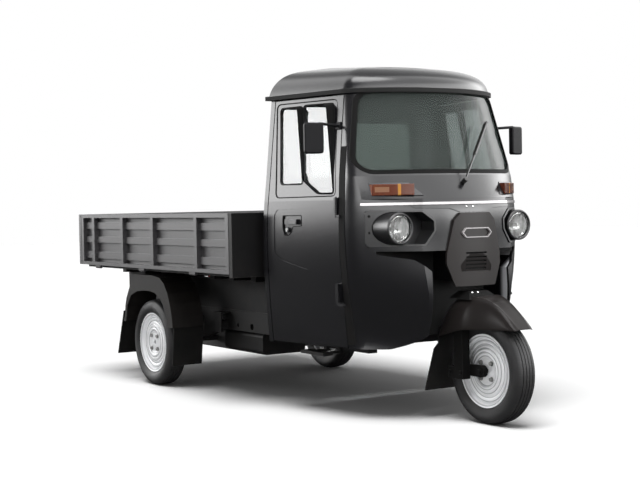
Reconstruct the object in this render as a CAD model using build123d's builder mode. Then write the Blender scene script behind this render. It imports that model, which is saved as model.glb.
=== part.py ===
"""Three-wheeled cargo auto rickshaw: closed cab with two doors in front, drop-side tray behind.

Units are millimetres, +X forward, +Y to the vehicle's left, +Z up, ground at Z = 0.
Every X below is measured forward from the rear axle; save() shifts the finished piece so that
the origin lies under the middle of the whole vehicle.
"""
from build123d import *
from collections import namedtuple
from math import cos, radians, sin, tan
import os

os.makedirs("parts", exist_ok=True)

# ---------------------------------------------------------------- driving dimensions
REAR_AXLE_X = -850.0          # rear axle in the saved frame
WHEELBASE = 2274.0
TYRE_R = 249.0
TYRE_W = 120.0
RIM_R = 168.0
REAR_TRACK_HALF = 597.0       # tyre centre from the middle plane
STEER_RAKE = 22.0             # degrees back from vertical
STEER_X, STEER_Z = 2130.0, 650.0   # a point on the steering axis

CAB_REAR_X = 1220.0
CAB_FLOOR_Z = 345.0
BELT_Z = 1055.0               # seam between the lower cowl and the glazed upper body
SCREEN_BASE_Z = 1165.0
ROOF_LOW_Z = 1566.0           # the roof's lower lip
ROOF_EDGE_Z = 1600.0
COWL_WALL = 14.0
DOOR_WALL = 28.0
GAP = 6.0                     # shut line around each door

TRAY_REAR_X, TRAY_FRONT_X = -823.0, 1149.0
TRAY_HALF = 745.0
TRAY_TOP_Z = 1000.0
RAIL_HALF = 400.0             # chassis side members, from the middle plane


def save(shape, name):
    """Label a finished piece, shift it to the vehicle's frame and write its STEP file."""
    piece = shape.moved(Location((REAR_AXLE_X, 0, 0)))
    piece.label = name
    export_step(piece, f"parts/{name}.step")
    return piece


def box_between(low, high, mode=Mode.ADD):
    """A box from its low corner to its high corner."""
    middle = [(a + b) / 2 for a, b in zip(low, high)]
    size = [b - a for a, b in zip(low, high)]
    with Locations(tuple(middle)):
        Box(*size, mode=mode)


def prism_y(outline, y_from, y_to, mode=Mode.ADD, corner_r=0.0, grow=0.0):
    """Extrude a closed side-view outline of (x, z) points from one Y to another."""
    with BuildSketch(Plane.XZ.offset(-y_to)) as profile:
        with BuildLine():
            Polyline(*outline, close=True)
        make_face()
        if corner_r:
            fillet(profile.vertices(), corner_r)
        if grow:
            offset(amount=grow, kind=Kind.ARC)
    extrude(profile.sketch, amount=y_to - y_from, mode=mode)


def prism_x(outline, x_from, x_to, mode=Mode.ADD, corner_r=0.0, grow=0.0):
    """Extrude a closed front-view outline of (y, z) points from one X to another."""
    with BuildSketch(Plane.YZ.offset(x_from)) as profile:
        with BuildLine():
            Polyline(*outline, close=True)
        make_face()
        if corner_r:
            fillet(profile.vertices(), corner_r)
        if grow:
            offset(amount=grow, kind=Kind.ARC)
    extrude(profile.sketch, amount=x_to - x_from, mode=mode)


# ---------------------------------------------------------------- cab form
# Horizontal sections. The side runs straight from the rear post to the knee, turns through a
# tangent arc to the corner, runs along a flat flank to the bow, and an arc closes the front.
CowlRow = namedtuple(
    "CowlRow", "z rear_half knee_x knee_half corner_x corner_half bow_x bow_half front_x"
)
COWL_ROWS = [
    CowlRow(345, 575, 1770, 488, 1860, 442, 2090, 222, 2140),
    CowlRow(520, 589, 1795, 498, 1885, 444, 2125, 238, 2165),
    CowlRow(650, 596, 1810, 507, 1898, 465, 2128, 257, 2165),
    CowlRow(800, 601, 1820, 517, 1908, 472, 2112, 270, 2157),
    CowlRow(950, 598, 1822, 520, 1910, 472, 2105, 265, 2155),
    CowlRow(BELT_Z, 590, 1825, 516, 1905, 468, 2090, 250, 2132),
]
# Above the belt the front is one arc from corner to corner.
CabinRow = namedtuple("CabinRow", "z rear_half knee_x knee_half corner_x corner_half front_x")
CABIN_ROWS = [
    CabinRow(BELT_Z, 590, 1825, 516, 1905, 468, 2132),
    CabinRow(SCREEN_BASE_Z, 577, 1835, 501, 1880, 475, 2046),
    CabinRow(ROOF_EDGE_Z, 532, 1731, 437, 1778, 411, 1940),
]


def side_and_corner(row, inset):
    """The rear edge, both sides and both corner arcs that every cab section shares."""
    rear_x = CAB_REAR_X + inset
    rear_half = row.rear_half - inset
    knee_half = row.knee_half - inset
    corner = (row.corner_x - 0.6 * inset, row.corner_half - 0.8 * inset)
    Polyline((row.knee_x, -knee_half), (rear_x, -rear_half), (rear_x, rear_half), (row.knee_x, knee_half))
    along = (row.knee_x - rear_x, knee_half - rear_half)
    TangentArc((row.knee_x, knee_half), corner, tangent=along)
    TangentArc((row.knee_x, -knee_half), (corner[0], -corner[1]), tangent=(along[0], -along[1]))
    return corner


def cowl_form(inset=0.0):
    """The filled lower cab between floor and belt, with its walls moved in by inset."""
    with BuildPart() as form:
        for row in COWL_ROWS:
            with BuildSketch(Plane.XY.offset(row.z)):
                with BuildLine():
                    corner = side_and_corner(row, inset)
                    bow = (row.bow_x - 0.8 * inset, row.bow_half - 0.6 * inset)
                    for side in (1, -1):
                        Line((corner[0], side * corner[1]), (bow[0], side * bow[1]))
                    ThreePointArc(bow, (row.front_x - inset, 0), (bow[0], -bow[1]))
                make_face()
        loft()
    return form.part


def cabin_form(inset=0.0):
    """The filled glazed upper cab between belt and roof edge."""
    with BuildPart() as form:
        for row in CABIN_ROWS:
            with BuildSketch(Plane.XY.offset(row.z)):
                with BuildLine():
                    corner = side_and_corner(row, inset)
                    ThreePointArc(corner, (row.front_x - inset, 0), (corner[0], -corner[1]))
                make_face()
        loft(ruled=True)
    return form.part


def cab_skin(outside, inside):
    """The wall of the whole cab between two insets, negative insets standing proud."""
    with BuildPart() as skin:
        add(cowl_form(outside))
        add(cabin_form(outside))
        add(cowl_form(inside), mode=Mode.SUBTRACT)
        add(cabin_form(inside), mode=Mode.SUBTRACT)
    return skin.part


# Side view of the door and of the line where the cowl and the screen frame begin, as (x, z).
DOOR_REAR_X, DOOR_FRONT_X, DOOR_FRONT_TOP_X = 1255.0, 1793.0, 1738.0
DOOR_LOW_Z, DOOR_HIGH_Z = 352.0, 1558.0
DOOR_KINK_Z = 1050.0          # the front edge leans back above this height
DOOR_OUTLINE = [
    (DOOR_REAR_X, DOOR_LOW_Z), (DOOR_FRONT_X, DOOR_LOW_Z), (DOOR_FRONT_X, DOOR_KINK_Z),
    (DOOR_FRONT_TOP_X, DOOR_HIGH_Z), (DOOR_REAR_X, DOOR_HIGH_Z),
]
REAR_PANE = [(1341, 1142), (1507, 1140), (1453, 1518), (1296, 1517)]
FRONT_PANE = [(1518, 1155), (1629, 1092), (1743, 1090), (1674, 1519), (1464, 1522)]
PANE_CORNER_R = 16.0
WINDOW_RECESS = [(1310, 1072), (1766, 1075), (1700, 1541), (1266, 1542)]
FRONT_OF_DOOR = [
    (DOOR_FRONT_X + GAP, 300), (2400, 300), (2400, 1700), (DOOR_FRONT_TOP_X + GAP - 17, 1700),
    (DOOR_FRONT_TOP_X + GAP, DOOR_HIGH_Z), (DOOR_FRONT_X + GAP, DOOR_KINK_Z),
]
REACH = 800.0                 # half-width past every wall, for cutting prisms

# The cowl's lower edge rises toward the nose; everything under this line is open.
UNDER_COWL = [
    (1900, 250), (1900, 344), (1950, 346), (2000, 364), (2050, 386), (2100, 414), (2240, 428),
    (2240, 250),
]
UNDER_LINER = [(1780, 250), (1780, 345), (1935, 398), (2240, 428), (2240, 250)]

# Front view of the wheel recess between the cheeks, as (y, z).
RECESS_HALF = 232.0
RECESS_OUTLINE = [
    (-RECESS_HALF, 200), (RECESS_HALF, 200), (RECESS_HALF, 715), (300, 770),
    (425, 795), (425, 810), (-425, 810), (-425, 795), (-300, 770), (-RECESS_HALF, 715),
]
RECESS_BACK_X = 1945.0
LINER_WALL = 10.0
COLUMN_R, HEAD_BORE_R = 20.0, 26.0
HEAD_HALF, HEAD_LOW_Z, HEAD_HIGH_Z = 80.0, 662.0, 815.0

# Front view of one headlight housing, as (y, z); the other side mirrors it.
LAMP_X, LAMP_Y, LAMP_Z = 2070.0, 363.0, 917.0
LAMP_RING_R, LENS_R = 75.0, 62.0
POD_OUTLINE = [(205, 902), (255, 834), (462, 832), (462, 1004), (262, 1002), (205, 954)]
POD_START_X = DOOR_FRONT_X + 20
POD_FLOOR_X = 2030.0
SCREEN_OUTLINE = [(-490, 1184), (490, 1184), (411, 1571), (-411, 1571)]
SCREEN_CORNER_R = 70.0
FRONT_OF_PILLAR = [
    (1846, 1100), (1846, SCREEN_BASE_Z), (1741, ROOF_EDGE_Z), (2400, ROOF_EDGE_Z), (2400, 1100),
]


def rod(start, end, radius, mode=Mode.ADD):
    """A round bar with ball ends between two points."""
    with BuildSketch(Plane(origin=start, z_dir=end - start)) as round_end:
        Circle(radius)
    extrude(round_end.sketch, amount=(end - start).length, mode=mode)
    with Locations(start, end):
        Sphere(radius, mode=mode)


def steer_place(along):
    """A location on the steering axis, along it from the head point, with its z up the axis."""
    return Location((STEER_X, 0, STEER_Z), (0, -STEER_RAKE, 0)) * Location((0, 0, along))


def mirrored(outline):
    """The same (y, z) outline on the other side."""
    return [(-y, z) for y, z in outline]


def side_span(side, y_in, y_out):
    """A (from, to) pair of Y values on one side of the middle plane."""
    return (y_in, y_out) if side > 0 else (-y_out, -y_in)


def screen_opening(grow=0.0):
    """The filled windscreen opening, its outline grown by grow."""
    with BuildPart() as opening:
        prism_x(SCREEN_OUTLINE, 1700, 2400, corner_r=SCREEN_CORNER_R, grow=grow)
        prism_y(FRONT_OF_PILLAR, -REACH, REACH, mode=Mode.INTERSECT)
    return opening.part


# ---------------------------------------------------------------- cab pieces
skin_cowl = cab_skin(0, COWL_WALL)
skin_door = cab_skin(0, DOOR_WALL)

# Door hinges: a pin outboard of the skin, its lower half on a leaf from the cowl.
HINGE_X, HINGE_Y, HINGE_R = 1782.0, 530.0, 6.0
HINGE_SPANS_Z = [(565, 661), (985, 1070)]
LEAF_H = 12.0
# A plate stands proud under the bright strip and dips over the nose panel.
SHIELD_OUTLINE = [
    (-300, 1023), (300, 1023), (288, 1012), (130, 1007), (74, 988),
    (-74, 988), (-130, 1007), (-288, 1012),
]
with BuildPart() as shield_plate:
    prism_x(SHIELD_OUTLINE, 1900, 2400)
    add(cowl_form(-5), mode=Mode.INTERSECT)
    add(cowl_form(2), mode=Mode.SUBTRACT)
with BuildPart() as front_cowl:
    add(skin_cowl)
    prism_y(FRONT_OF_DOOR, -REACH, REACH, mode=Mode.INTERSECT)
    box_between((1500, -REACH, 300), (2400, REACH, BELT_Z), mode=Mode.INTERSECT)
    prism_x(RECESS_OUTLINE, RECESS_BACK_X, 2400, mode=Mode.SUBTRACT)
    prism_y(UNDER_COWL, -REACH, REACH, mode=Mode.SUBTRACT)
    for outline in (POD_OUTLINE, mirrored(POD_OUTLINE)):
        prism_x(outline, POD_START_X, 2400, mode=Mode.SUBTRACT, corner_r=18)
    add(shield_plate.part)
    for side in (1, -1):
        for z_low, z_high in HINGE_SPANS_Z:
            with Locations((HINGE_X, side * HINGE_Y, z_low - 1 - LEAF_H / 2)):
                Cylinder(HINGE_R, LEAF_H)
            pin_leaf = side_span(side, HINGE_Y - 4, HINGE_Y + 4)
            box_between((HINGE_X, pin_leaf[0], z_low - 1 - LEAF_H), (1812, pin_leaf[1], z_low - 1))
            foot = side_span(side, 496, HINGE_Y + 4)
            box_between((1801, foot[0], z_low - 1 - LEAF_H), (1812, foot[1], z_low - 1))
save(front_cowl.part, "front_cowl")

with BuildPart() as wheel_recess:
    add(cowl_form(COWL_WALL))
    prism_x(RECESS_OUTLINE, RECESS_BACK_X - LINER_WALL, 2400, mode=Mode.INTERSECT, grow=LINER_WALL)
    prism_x(RECESS_OUTLINE, RECESS_BACK_X, 2400, mode=Mode.SUBTRACT)
    box_between((RECESS_BACK_X - 1, -HEAD_HALF, HEAD_LOW_Z), (2134, HEAD_HALF, HEAD_HIGH_Z))
    prism_y(UNDER_LINER, -REACH, REACH, mode=Mode.SUBTRACT)
    with Locations(steer_place(80)):
        Cylinder(HEAD_BORE_R, 900, mode=Mode.SUBTRACT)
save(wheel_recess.part, "wheel_recess")

screen_cut = screen_opening()
with BuildPart() as screen_frame:
    add(skin_door)
    prism_y(FRONT_OF_DOOR, -REACH, REACH, mode=Mode.INTERSECT)
    box_between((1500, -REACH, BELT_Z), (2400, REACH, ROOF_EDGE_Z), mode=Mode.INTERSECT)
    add(screen_cut, mode=Mode.SUBTRACT)
save(screen_frame.part, "screen_frame")

REAR_WINDOW = [(-330, 1180), (330, 1180), (330, 1460), (-330, 1460)]
with BuildPart() as cab_glass:
    add(cabin_form(6))
    add(cabin_form(12), mode=Mode.SUBTRACT)
    add(screen_cut, mode=Mode.INTERSECT)
    prism_x(REAR_WINDOW, CAB_REAR_X + 10, CAB_REAR_X + 15, corner_r=40)
save(cab_glass.part, "cab_glass")

# Rubber: the windscreen's moulding, and a strip ahead of each door that covers the hinge side.
HINGE_STRIP = [
    (DOOR_FRONT_X + GAP, 365), (1835, 365), (1835, DOOR_KINK_Z), (1806, 1310),
    (1771, 1310), (DOOR_FRONT_X + GAP, DOOR_KINK_Z),
]
with BuildPart() as cab_seals:
    add(cabin_form(-4))
    add(cabin_form(0), mode=Mode.SUBTRACT)
    add(screen_opening(9), mode=Mode.INTERSECT)
    add(screen_opening(-9), mode=Mode.SUBTRACT)
    box_between((1500, -REACH, 1100), (2400, REACH, ROOF_LOW_Z - 0.5), mode=Mode.INTERSECT)
with BuildPart() as side_strips:
    add(cab_skin(-3, 0))
    prism_y(HINGE_STRIP, -REACH, REACH, mode=Mode.INTERSECT)
    add(front_cowl.part, mode=Mode.SUBTRACT)
save(cab_seals.part + side_strips.part, "cab_seals")

# Rear wall with a post at each side and a small window.
with BuildPart() as rear_wall:
    add(skin_door)
    box_between(
        (CAB_REAR_X, -REACH, CAB_FLOOR_Z), (DOOR_REAR_X - GAP, REACH, ROOF_EDGE_Z), mode=Mode.INTERSECT
    )
    prism_x(REAR_WINDOW, 1100, 1300, mode=Mode.SUBTRACT, corner_r=40)
save(rear_wall.part, "rear_wall")

# Roof: sections shrink toward the crown, as shares of the cab's outline at the roof edge, and
# tilt a little more with height so that the crown slopes down toward the front.
RoofRow = namedtuple("RoofRow", "z share_rear share_front share_y tilt")
ROOF_ROWS = [
    RoofRow(ROOF_LOW_Z, 1.04, 1.03, 1.025, 0.0),
    RoofRow(1600, 1.025, 1.015, 1.012, 0.5),
    RoofRow(1640, 0.99, 0.975, 0.97, 1.2),
    RoofRow(1672, 0.935, 0.87, 0.90, 2.0),
    RoofRow(1694, 0.85, 0.73, 0.795, 2.6),
    RoofRow(1708, 0.71, 0.55, 0.63, 3.0),
    RoofRow(1715, 0.50, 0.36, 0.43, 3.2),
]
ROOF_MIDDLE_X = 1570.0
ROOF_WALL = 10.0
GUTTER = RoofRow(ROOF_LOW_Z, 1.07, 1.05, 1.05, 0.0)
GUTTER_H = 22.0


def roof_section(row, share=1.0, drop=0.0):
    """The closed outline of the roof at one row, scaled by share and lowered by drop."""
    edge = CABIN_ROWS[-1]
    lean = radians(row.tilt)
    rear = ((CAB_REAR_X - ROOF_MIDDLE_X) * row.share_rear, edge.rear_half * row.share_y)
    knee = ((edge.knee_x - ROOF_MIDDLE_X) * row.share_front, edge.knee_half * row.share_y)
    corner = ((edge.corner_x - ROOF_MIDDLE_X) * row.share_front, edge.corner_half * row.share_y)
    front_x = (edge.front_x - ROOF_MIDDLE_X) * row.share_front * share
    rear, knee, corner = [(x * share, y * share) for x, y in (rear, knee, corner)]
    along = (knee[0] - rear[0], knee[1] - rear[1])
    level = Plane(
        origin=(ROOF_MIDDLE_X, 0, row.z - drop), x_dir=(cos(lean), 0, -sin(lean)),
        z_dir=(sin(lean), 0, cos(lean)),
    )
    with BuildSketch(level) as section:
        with BuildLine():
            Polyline((knee[0], -knee[1]), (rear[0], -rear[1]), rear, knee)
            TangentArc(knee, corner, tangent=along)
            TangentArc((knee[0], -knee[1]), (corner[0], -corner[1]), tangent=(along[0], -along[1]))
            ThreePointArc(corner, (front_x, 0), (corner[0], -corner[1]))
        make_face()
    return section.sketch


def roof_form(share=1.0, drop=0.0):
    """The filled roof form, its outlines scaled by share and lowered by drop."""
    with BuildPart() as form:
        loft([roof_section(row, share, drop) for row in ROOF_ROWS])
    return form.part


with BuildPart() as door_headers:
    add(skin_door)
    box_between(
        (DOOR_REAR_X - GAP, -REACH, DOOR_HIGH_Z + GAP + 2), (DOOR_FRONT_TOP_X - GAP, REACH, ROOF_EDGE_Z),
        mode=Mode.INTERSECT,
    )
with BuildPart() as roof:
    add(roof_form())
    extrude(roof_section(GUTTER), amount=GUTTER_H)
    add(roof_form(0.97, ROOF_WALL), mode=Mode.SUBTRACT)
    add(cabin_form(0), mode=Mode.SUBTRACT)
    add(door_headers.part)
save(roof.part, "roof")

# Floor pan on two box sections, rising at the toes, with a foot step under each door.
# Its edges are cut back by the hinges, where the inner corner of an opening door sweeps past.
FLOOR_OUTLINE = [(1100, 345), (1790, 345), (1935, 398), (1935, 420), (1784, 365), (1100, 365)]
with BuildPart() as cab_floor:
    add(cowl_form(DOOR_WALL + 2))
    prism_y(FLOOR_OUTLINE, -REACH, REACH, mode=Mode.INTERSECT)
    for side in (1, -1):
        swing = side_span(side, 447, REACH)
        box_between((1700, swing[0], 340), (1796, swing[1], 372), mode=Mode.SUBTRACT)
        box_between((1230, side * 300 - 25, 306), (1740, side * 300 + 25, CAB_FLOOR_Z))
        box_between((1330, side * 430 - 30, 286), (1540, side * 430 + 30, 302))
        for x in (1360, 1480):
            box_between((x, side * 375 - 60, 290), (x + 26, side * 375 + 60, 300))
            box_between((x, side * 330 - 10, 290), (x + 26, side * 330 + 10, CAB_FLOOR_Z))
    box_between((1230, -325, 306), (1290, 325, CAB_FLOOR_Z))
save(cab_floor.part, "cab_floor")

# ---------------------------------------------------------------- doors
CREASE = [(1607, 1010), (1329, 1007), (1312, 987), (1315, 802), (1362, 767), (1555, 724)]
CREASE_W = 13.0
HANDLE_OUTLINE = [
    (1376, 982), (1516, 982), (1520, 935), (1452, 930), (1444, 902), (1420, 888), (1392, 888),
    (1376, 925),
]
PADDLE = [(1392, 940), (1490, 940), (1490, 966), (1392, 966)]
LOCK_X, LOCK_Z, LOCK_R = 1412.0, 913.0, 13.0
press_skin = cab_skin(-2, 3)
pocket_skin = cab_skin(-2, 9)
lever_skin = cab_skin(-3, 10)


def pressed(side):
    """What the window recess and the crease press out of one door's skin."""
    span = side_span(side, 60, REACH)
    with BuildPart() as cut:
        prism_y(WINDOW_RECESS, *span, corner_r=22)
        with BuildSketch(Plane.XZ.offset(-span[1])) as groove:
            with BuildLine():
                FilletPolyline(*CREASE, radius=14)
            trace(line_width=CREASE_W)
        extrude(groove.sketch, amount=span[1] - span[0])
        add(press_skin, mode=Mode.INTERSECT)
    return cut.part


def handle(side):
    """The paddle and the lock barrel that stand on the floor of one door's handle pocket."""
    span = side_span(side, 60, REACH)
    with BuildPart() as lever:
        prism_y(PADDLE, *span, corner_r=5)
        with Locations(Location((LOCK_X, (span[0] + span[1]) / 2, LOCK_Z), (90, 0, 0))):
            Cylinder(LOCK_R, span[1] - span[0])
        add(lever_skin, mode=Mode.INTERSECT)
    return lever.part


def pocket(side):
    """The pocket pressed into one door behind its handle."""
    with BuildPart() as hollow:
        prism_y(HANDLE_OUTLINE, *side_span(side, 60, REACH), corner_r=7)
        add(pocket_skin, mode=Mode.INTERSECT)
    return hollow.part


def door(side):
    """One door shell with its handle and hinge knuckles; side is -1 for the right door."""
    span = side_span(side, 60, REACH)
    with BuildPart() as shell:
        add(skin_door)
        prism_y(DOOR_OUTLINE, *span, mode=Mode.INTERSECT)
        for pane in (REAR_PANE, FRONT_PANE):
            prism_y(pane, *span, mode=Mode.SUBTRACT, corner_r=PANE_CORNER_R)
        add(pressed(side), mode=Mode.SUBTRACT)
        add(pocket(side), mode=Mode.SUBTRACT)
        add(handle(side))
        for z_low, z_high in HINGE_SPANS_Z:
            with Locations((HINGE_X, side * HINGE_Y, z_low - 1 - LEAF_H / 2)):
                Cylinder(HINGE_R + 2, LEAF_H + 2, mode=Mode.SUBTRACT)
            with Locations((HINGE_X, side * HINGE_Y, (z_low + z_high) / 2)):
                Cylinder(HINGE_R, z_high - z_low)
            leaf = side_span(side, 495, HINGE_Y + 4)
            box_between((HINGE_X - 12, leaf[0], z_low + 4), (HINGE_X, leaf[1], z_high - 4))
    return shell.part


def door_glass(side):
    """Both panes of one door."""
    span = side_span(side, 60, REACH)
    with BuildPart() as panes:
        for pane in (REAR_PANE, FRONT_PANE):
            prism_y(pane, *span, corner_r=PANE_CORNER_R)
        add(cabin_form(10), mode=Mode.INTERSECT)
        add(cabin_form(14), mode=Mode.SUBTRACT)
    return panes.part


for word, side in (("right", -1), ("left", 1)):
    save(door(side), f"door_{word}")
    save(door_glass(side), f"door_{word}_glass")

# ---------------------------------------------------------------- front lamps and trim
with BuildPart() as pod_shapes:
    for outline in (POD_OUTLINE, mirrored(POD_OUTLINE)):
        prism_x(outline, POD_START_X, 2400, corner_r=18)
# Inboard of each lamp the housing is a deep well with a narrow rim.
with BuildPart() as pod_wells:
    for outline in (POD_OUTLINE, mirrored(POD_OUTLINE)):
        prism_x(outline, POD_FLOOR_X, 2400, corner_r=18, grow=-9)
SIGNAL_OUTLINE = [(282, 1076), (431, 1076), (431, 1126), (282, 1126)]
SIGNAL_BASE = [(232, 1071), (437, 1071), (437, 1131), (278, 1131)]
SIGNAL_BASE_H = 4.0
with BuildPart() as signal_bases:
    for outline in (SIGNAL_BASE, mirrored(SIGNAL_BASE)):
        prism_x(outline, 1800, 2400)
    add(cabin_form(-SIGNAL_BASE_H), mode=Mode.INTERSECT)
    add(cabin_form(0), mode=Mode.SUBTRACT)
with BuildPart() as lamp_housings:
    add(cowl_form(-5))
    add(cowl_form(90), mode=Mode.SUBTRACT)
    add(pod_wells.part, mode=Mode.SUBTRACT)
    for side in (1, -1):
        with Locations(Location((LAMP_X - 20, side * LAMP_Y, LAMP_Z), (0, 90, 0))):
            Cylinder(LAMP_RING_R + 3, 300, mode=Mode.SUBTRACT)
    add(pod_shapes.part, mode=Mode.INTERSECT)
save(lamp_housings.part + signal_bases.part, "lamp_housings")

with BuildPart() as headlight_buckets:
    for side in (1, -1):
        with Locations(Location((LAMP_X - 60, side * LAMP_Y, LAMP_Z), (0, 90, 0))):
            Cylinder(LAMP_RING_R, 120)
        with Locations(Location((LAMP_X - 18, side * LAMP_Y, LAMP_Z), (0, 90, 0))):
            Cylinder(LENS_R, 40, mode=Mode.SUBTRACT)
    chamfer(headlight_buckets.edges().filter_by(GeomType.CIRCLE).group_by(Axis.X)[-1], 5)
save(headlight_buckets.part, "headlight_buckets")

with BuildPart() as headlight_lenses:
    for side in (1, -1):
        with Locations(Location((LAMP_X - 8, side * LAMP_Y, LAMP_Z), (0, 90, 0))):
            Cylinder(LENS_R, 12)
    fillet(headlight_lenses.edges().filter_by(GeomType.CIRCLE).group_by(Axis.X)[-1], 4)
save(headlight_lenses.part, "headlight_lenses")

with BuildPart() as turn_signals:
    for outline in (SIGNAL_OUTLINE, mirrored(SIGNAL_OUTLINE)):
        prism_x(outline, 1700, 2400, corner_r=6)
    add(cabin_form(-16), mode=Mode.INTERSECT)
    add(cabin_form(-SIGNAL_BASE_H), mode=Mode.SUBTRACT)
save(turn_signals.part, "turn_signals")

# Nose panel: a shield with a blank badge frame and a slotted hollow above its chin.
NOSE_OUTLINE = [
    (-120, 640), (120, 640), (162, 745), (160, 795), (122, 950), (86, 985),
    (-86, 985), (-122, 950), (-160, 795), (-162, 745),
]
CHIN_OUTLINE = [(-112, 806), (112, 806), (86, 704), (-86, 704)]
CHIN_WEDGE = [(2179, 808), (2166, 708), (2200, 704), (2200, 808)]
GRILLE_SLOTS_Z = [722, 739, 757, 775, 795]
BADGE_OUTLINE = [(-89, 891), (-68, 914), (68, 914), (89, 891), (66, 867), (-66, 867)]
BADGE_X = 2184.0
with BuildPart() as nose_panel:
    prism_x(NOSE_OUTLINE, 2100, 2200, corner_r=10)
    with BuildSketch(Plane.XY.offset(600)):
        with BuildLine():
            ThreePointArc((2150, 170), (2178, 0), (2150, -170))
            Polyline((2150, -170), (2050, -170), (2050, 170), (2150, 170))
        make_face()
    extrude(amount=420, mode=Mode.INTERSECT)
    add(cowl_form(0), mode=Mode.SUBTRACT)
with BuildPart() as chin_hollow:
    prism_x(CHIN_OUTLINE, 2150, 2200)
    prism_y(CHIN_WEDGE, -REACH, REACH, mode=Mode.INTERSECT)
    for z in GRILLE_SLOTS_Z:
        box_between((2150, -62, z - 4), (2200, 62, z + 4))
    add(cowl_form(-1), mode=Mode.SUBTRACT)
save(nose_panel.part - chin_hollow.part, "nose_panel")

# Bright trim: the strip across the nose and the empty badge frame.
STRIP_LOW_Z, STRIP_HIGH_Z = 1026.0, 1038.0
with BuildPart() as trim_strip:
    add(cowl_form(-6))
    add(cowl_form(0), mode=Mode.SUBTRACT)
    box_between((1908, -REACH, STRIP_LOW_Z), (2400, REACH, STRIP_HIGH_Z), mode=Mode.INTERSECT)
with BuildPart() as badge_frame:
    prism_x(BADGE_OUTLINE, 2100, BADGE_X, corner_r=8)
    prism_x(BADGE_OUTLINE, 2100, BADGE_X, mode=Mode.SUBTRACT, corner_r=8, grow=-5)
    add(nose_panel.part, mode=Mode.SUBTRACT)
    add(cowl_form(0), mode=Mode.SUBTRACT)
save(trim_strip.part + badge_frame.part, "bright_trim")

# Wiper: spindle boss on the scuttle, arm and blade lying just off the glass.
WIPER_FOOT = (2092.0, 4.0, 1138.0)
WIPER_TIP = (2006.0, 214.0, 1423.0)
with BuildPart() as wiper:
    with Locations(Location(WIPER_FOOT, (0, 60, 0))):
        Cylinder(12, 30)
    foot, tip = Vector(*WIPER_FOOT) + Vector(8, 0, 8), Vector(*WIPER_TIP)
    elbow = foot + (tip - foot) * 0.42
    with BuildSketch(Plane(origin=foot, z_dir=tip - foot)):
        Rectangle(6, 8)
    extrude(amount=(elbow - foot).length + 40)
    with BuildSketch(Plane(origin=elbow, z_dir=tip - foot)):
        Rectangle(9, 20)
    extrude(amount=(tip - elbow).length)
save(wiper.part, "wiper")

# Mirrors on the doors' front posts, turned a little toward the driver.
MIRROR_X, MIRROR_HALF = 1752.0, 628.0
MIRROR_LOW_Z, MIRROR_HIGH_Z = 1276.0, 1422.0
MIRROR_W, MIRROR_THICK, MIRROR_TURN = 94.0, 26.0, 18.0
ARM_FOOT, ARM_END = (1738, 482, 1410), (1758, 600, 1418)


def mirror(side):
    """One mirror with its arm and foot; side is -1 for the right."""
    height = MIRROR_HIGH_Z - MIRROR_LOW_Z
    span = side_span(side, 440, REACH)
    with BuildPart() as head:
        Box(MIRROR_THICK, MIRROR_W, height)
        fillet(head.edges().filter_by(Axis.X), 14)
        fillet(head.faces().filter_by(Axis.X).sort_by(Axis.X)[-1].edges(), 8)
    middle = Location(
        (MIRROR_X, side * MIRROR_HALF, (MIRROR_LOW_Z + MIRROR_HIGH_Z) / 2), (0, 0, side * MIRROR_TURN)
    )
    foot = Vector(ARM_FOOT[0], side * ARM_FOOT[1], ARM_FOOT[2])
    end = Vector(ARM_END[0], side * ARM_END[1], ARM_END[2])
    with BuildPart() as whole:
        add(head.part.moved(middle))
        rod(foot, end, 7)
        box_between((1722, span[0], 1394), (1750, span[1], 1428))
        add(cabin_form(-9), mode=Mode.INTERSECT)
        add(head.part.moved(middle))
        rod(foot, end, 7)
        add(cabin_form(0), mode=Mode.SUBTRACT)
    return whole.part


for word, side in (("right", -1), ("left", 1)):
    save(mirror(side), f"door_{word}_mirror")

# ---------------------------------------------------------------- wheels
BARREL = [
    (-48, 172), (-44, 172), (-44, 165), (-25, 162), (-19, 147), (19, 147), (25, 162), (44, 165),
    (44, 172), (48, 172), (48, 160), (28, 157), (22, 142), (-22, 142), (-28, 157), (-48, 160),
]
DISC = [
    (27, 155), (36, 138), (31, 120), (38, 102), (42, 78), (33, 62), (33, 44), (27, 44), (27, 60),
    (36, 78), (32, 100), (25, 120), (30, 138), (20, 148),
]
AXLE_R, HUB_BORE_R, HUB_R = 12.0, 12.6, 42.0
BEAD = 43.7                   # half the tyre's width where it sits in the rim


def wheel_section(x, y, side):
    """A plane through a wheel's centre whose x runs outboard and whose y is the radius."""
    return Plane(origin=(x, y, TYRE_R), x_dir=(0, side, 0), z_dir=(side, 0, 0))


def rim(x, y, side):
    """Pressed steel wheel with its hub; side is the direction its face looks along Y."""
    axis = Axis((x, y, TYRE_R), (0, 1, 0))
    with BuildPart() as wheel:
        with BuildSketch(wheel_section(x, y, side)):
            for outline in (BARREL, DISC):
                with BuildLine():
                    Polyline(*outline, close=True)
                make_face()
            with Locations((-2, (HUB_R + HUB_BORE_R) / 2 + 3)):
                Rectangle(70, HUB_R - HUB_BORE_R + 6)
        revolve(axis=axis)
        with Locations(Location((x, y, TYRE_R), (90, 0, 0))):
            Cylinder(HUB_BORE_R, 300, mode=Mode.SUBTRACT)
    return wheel.part


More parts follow.
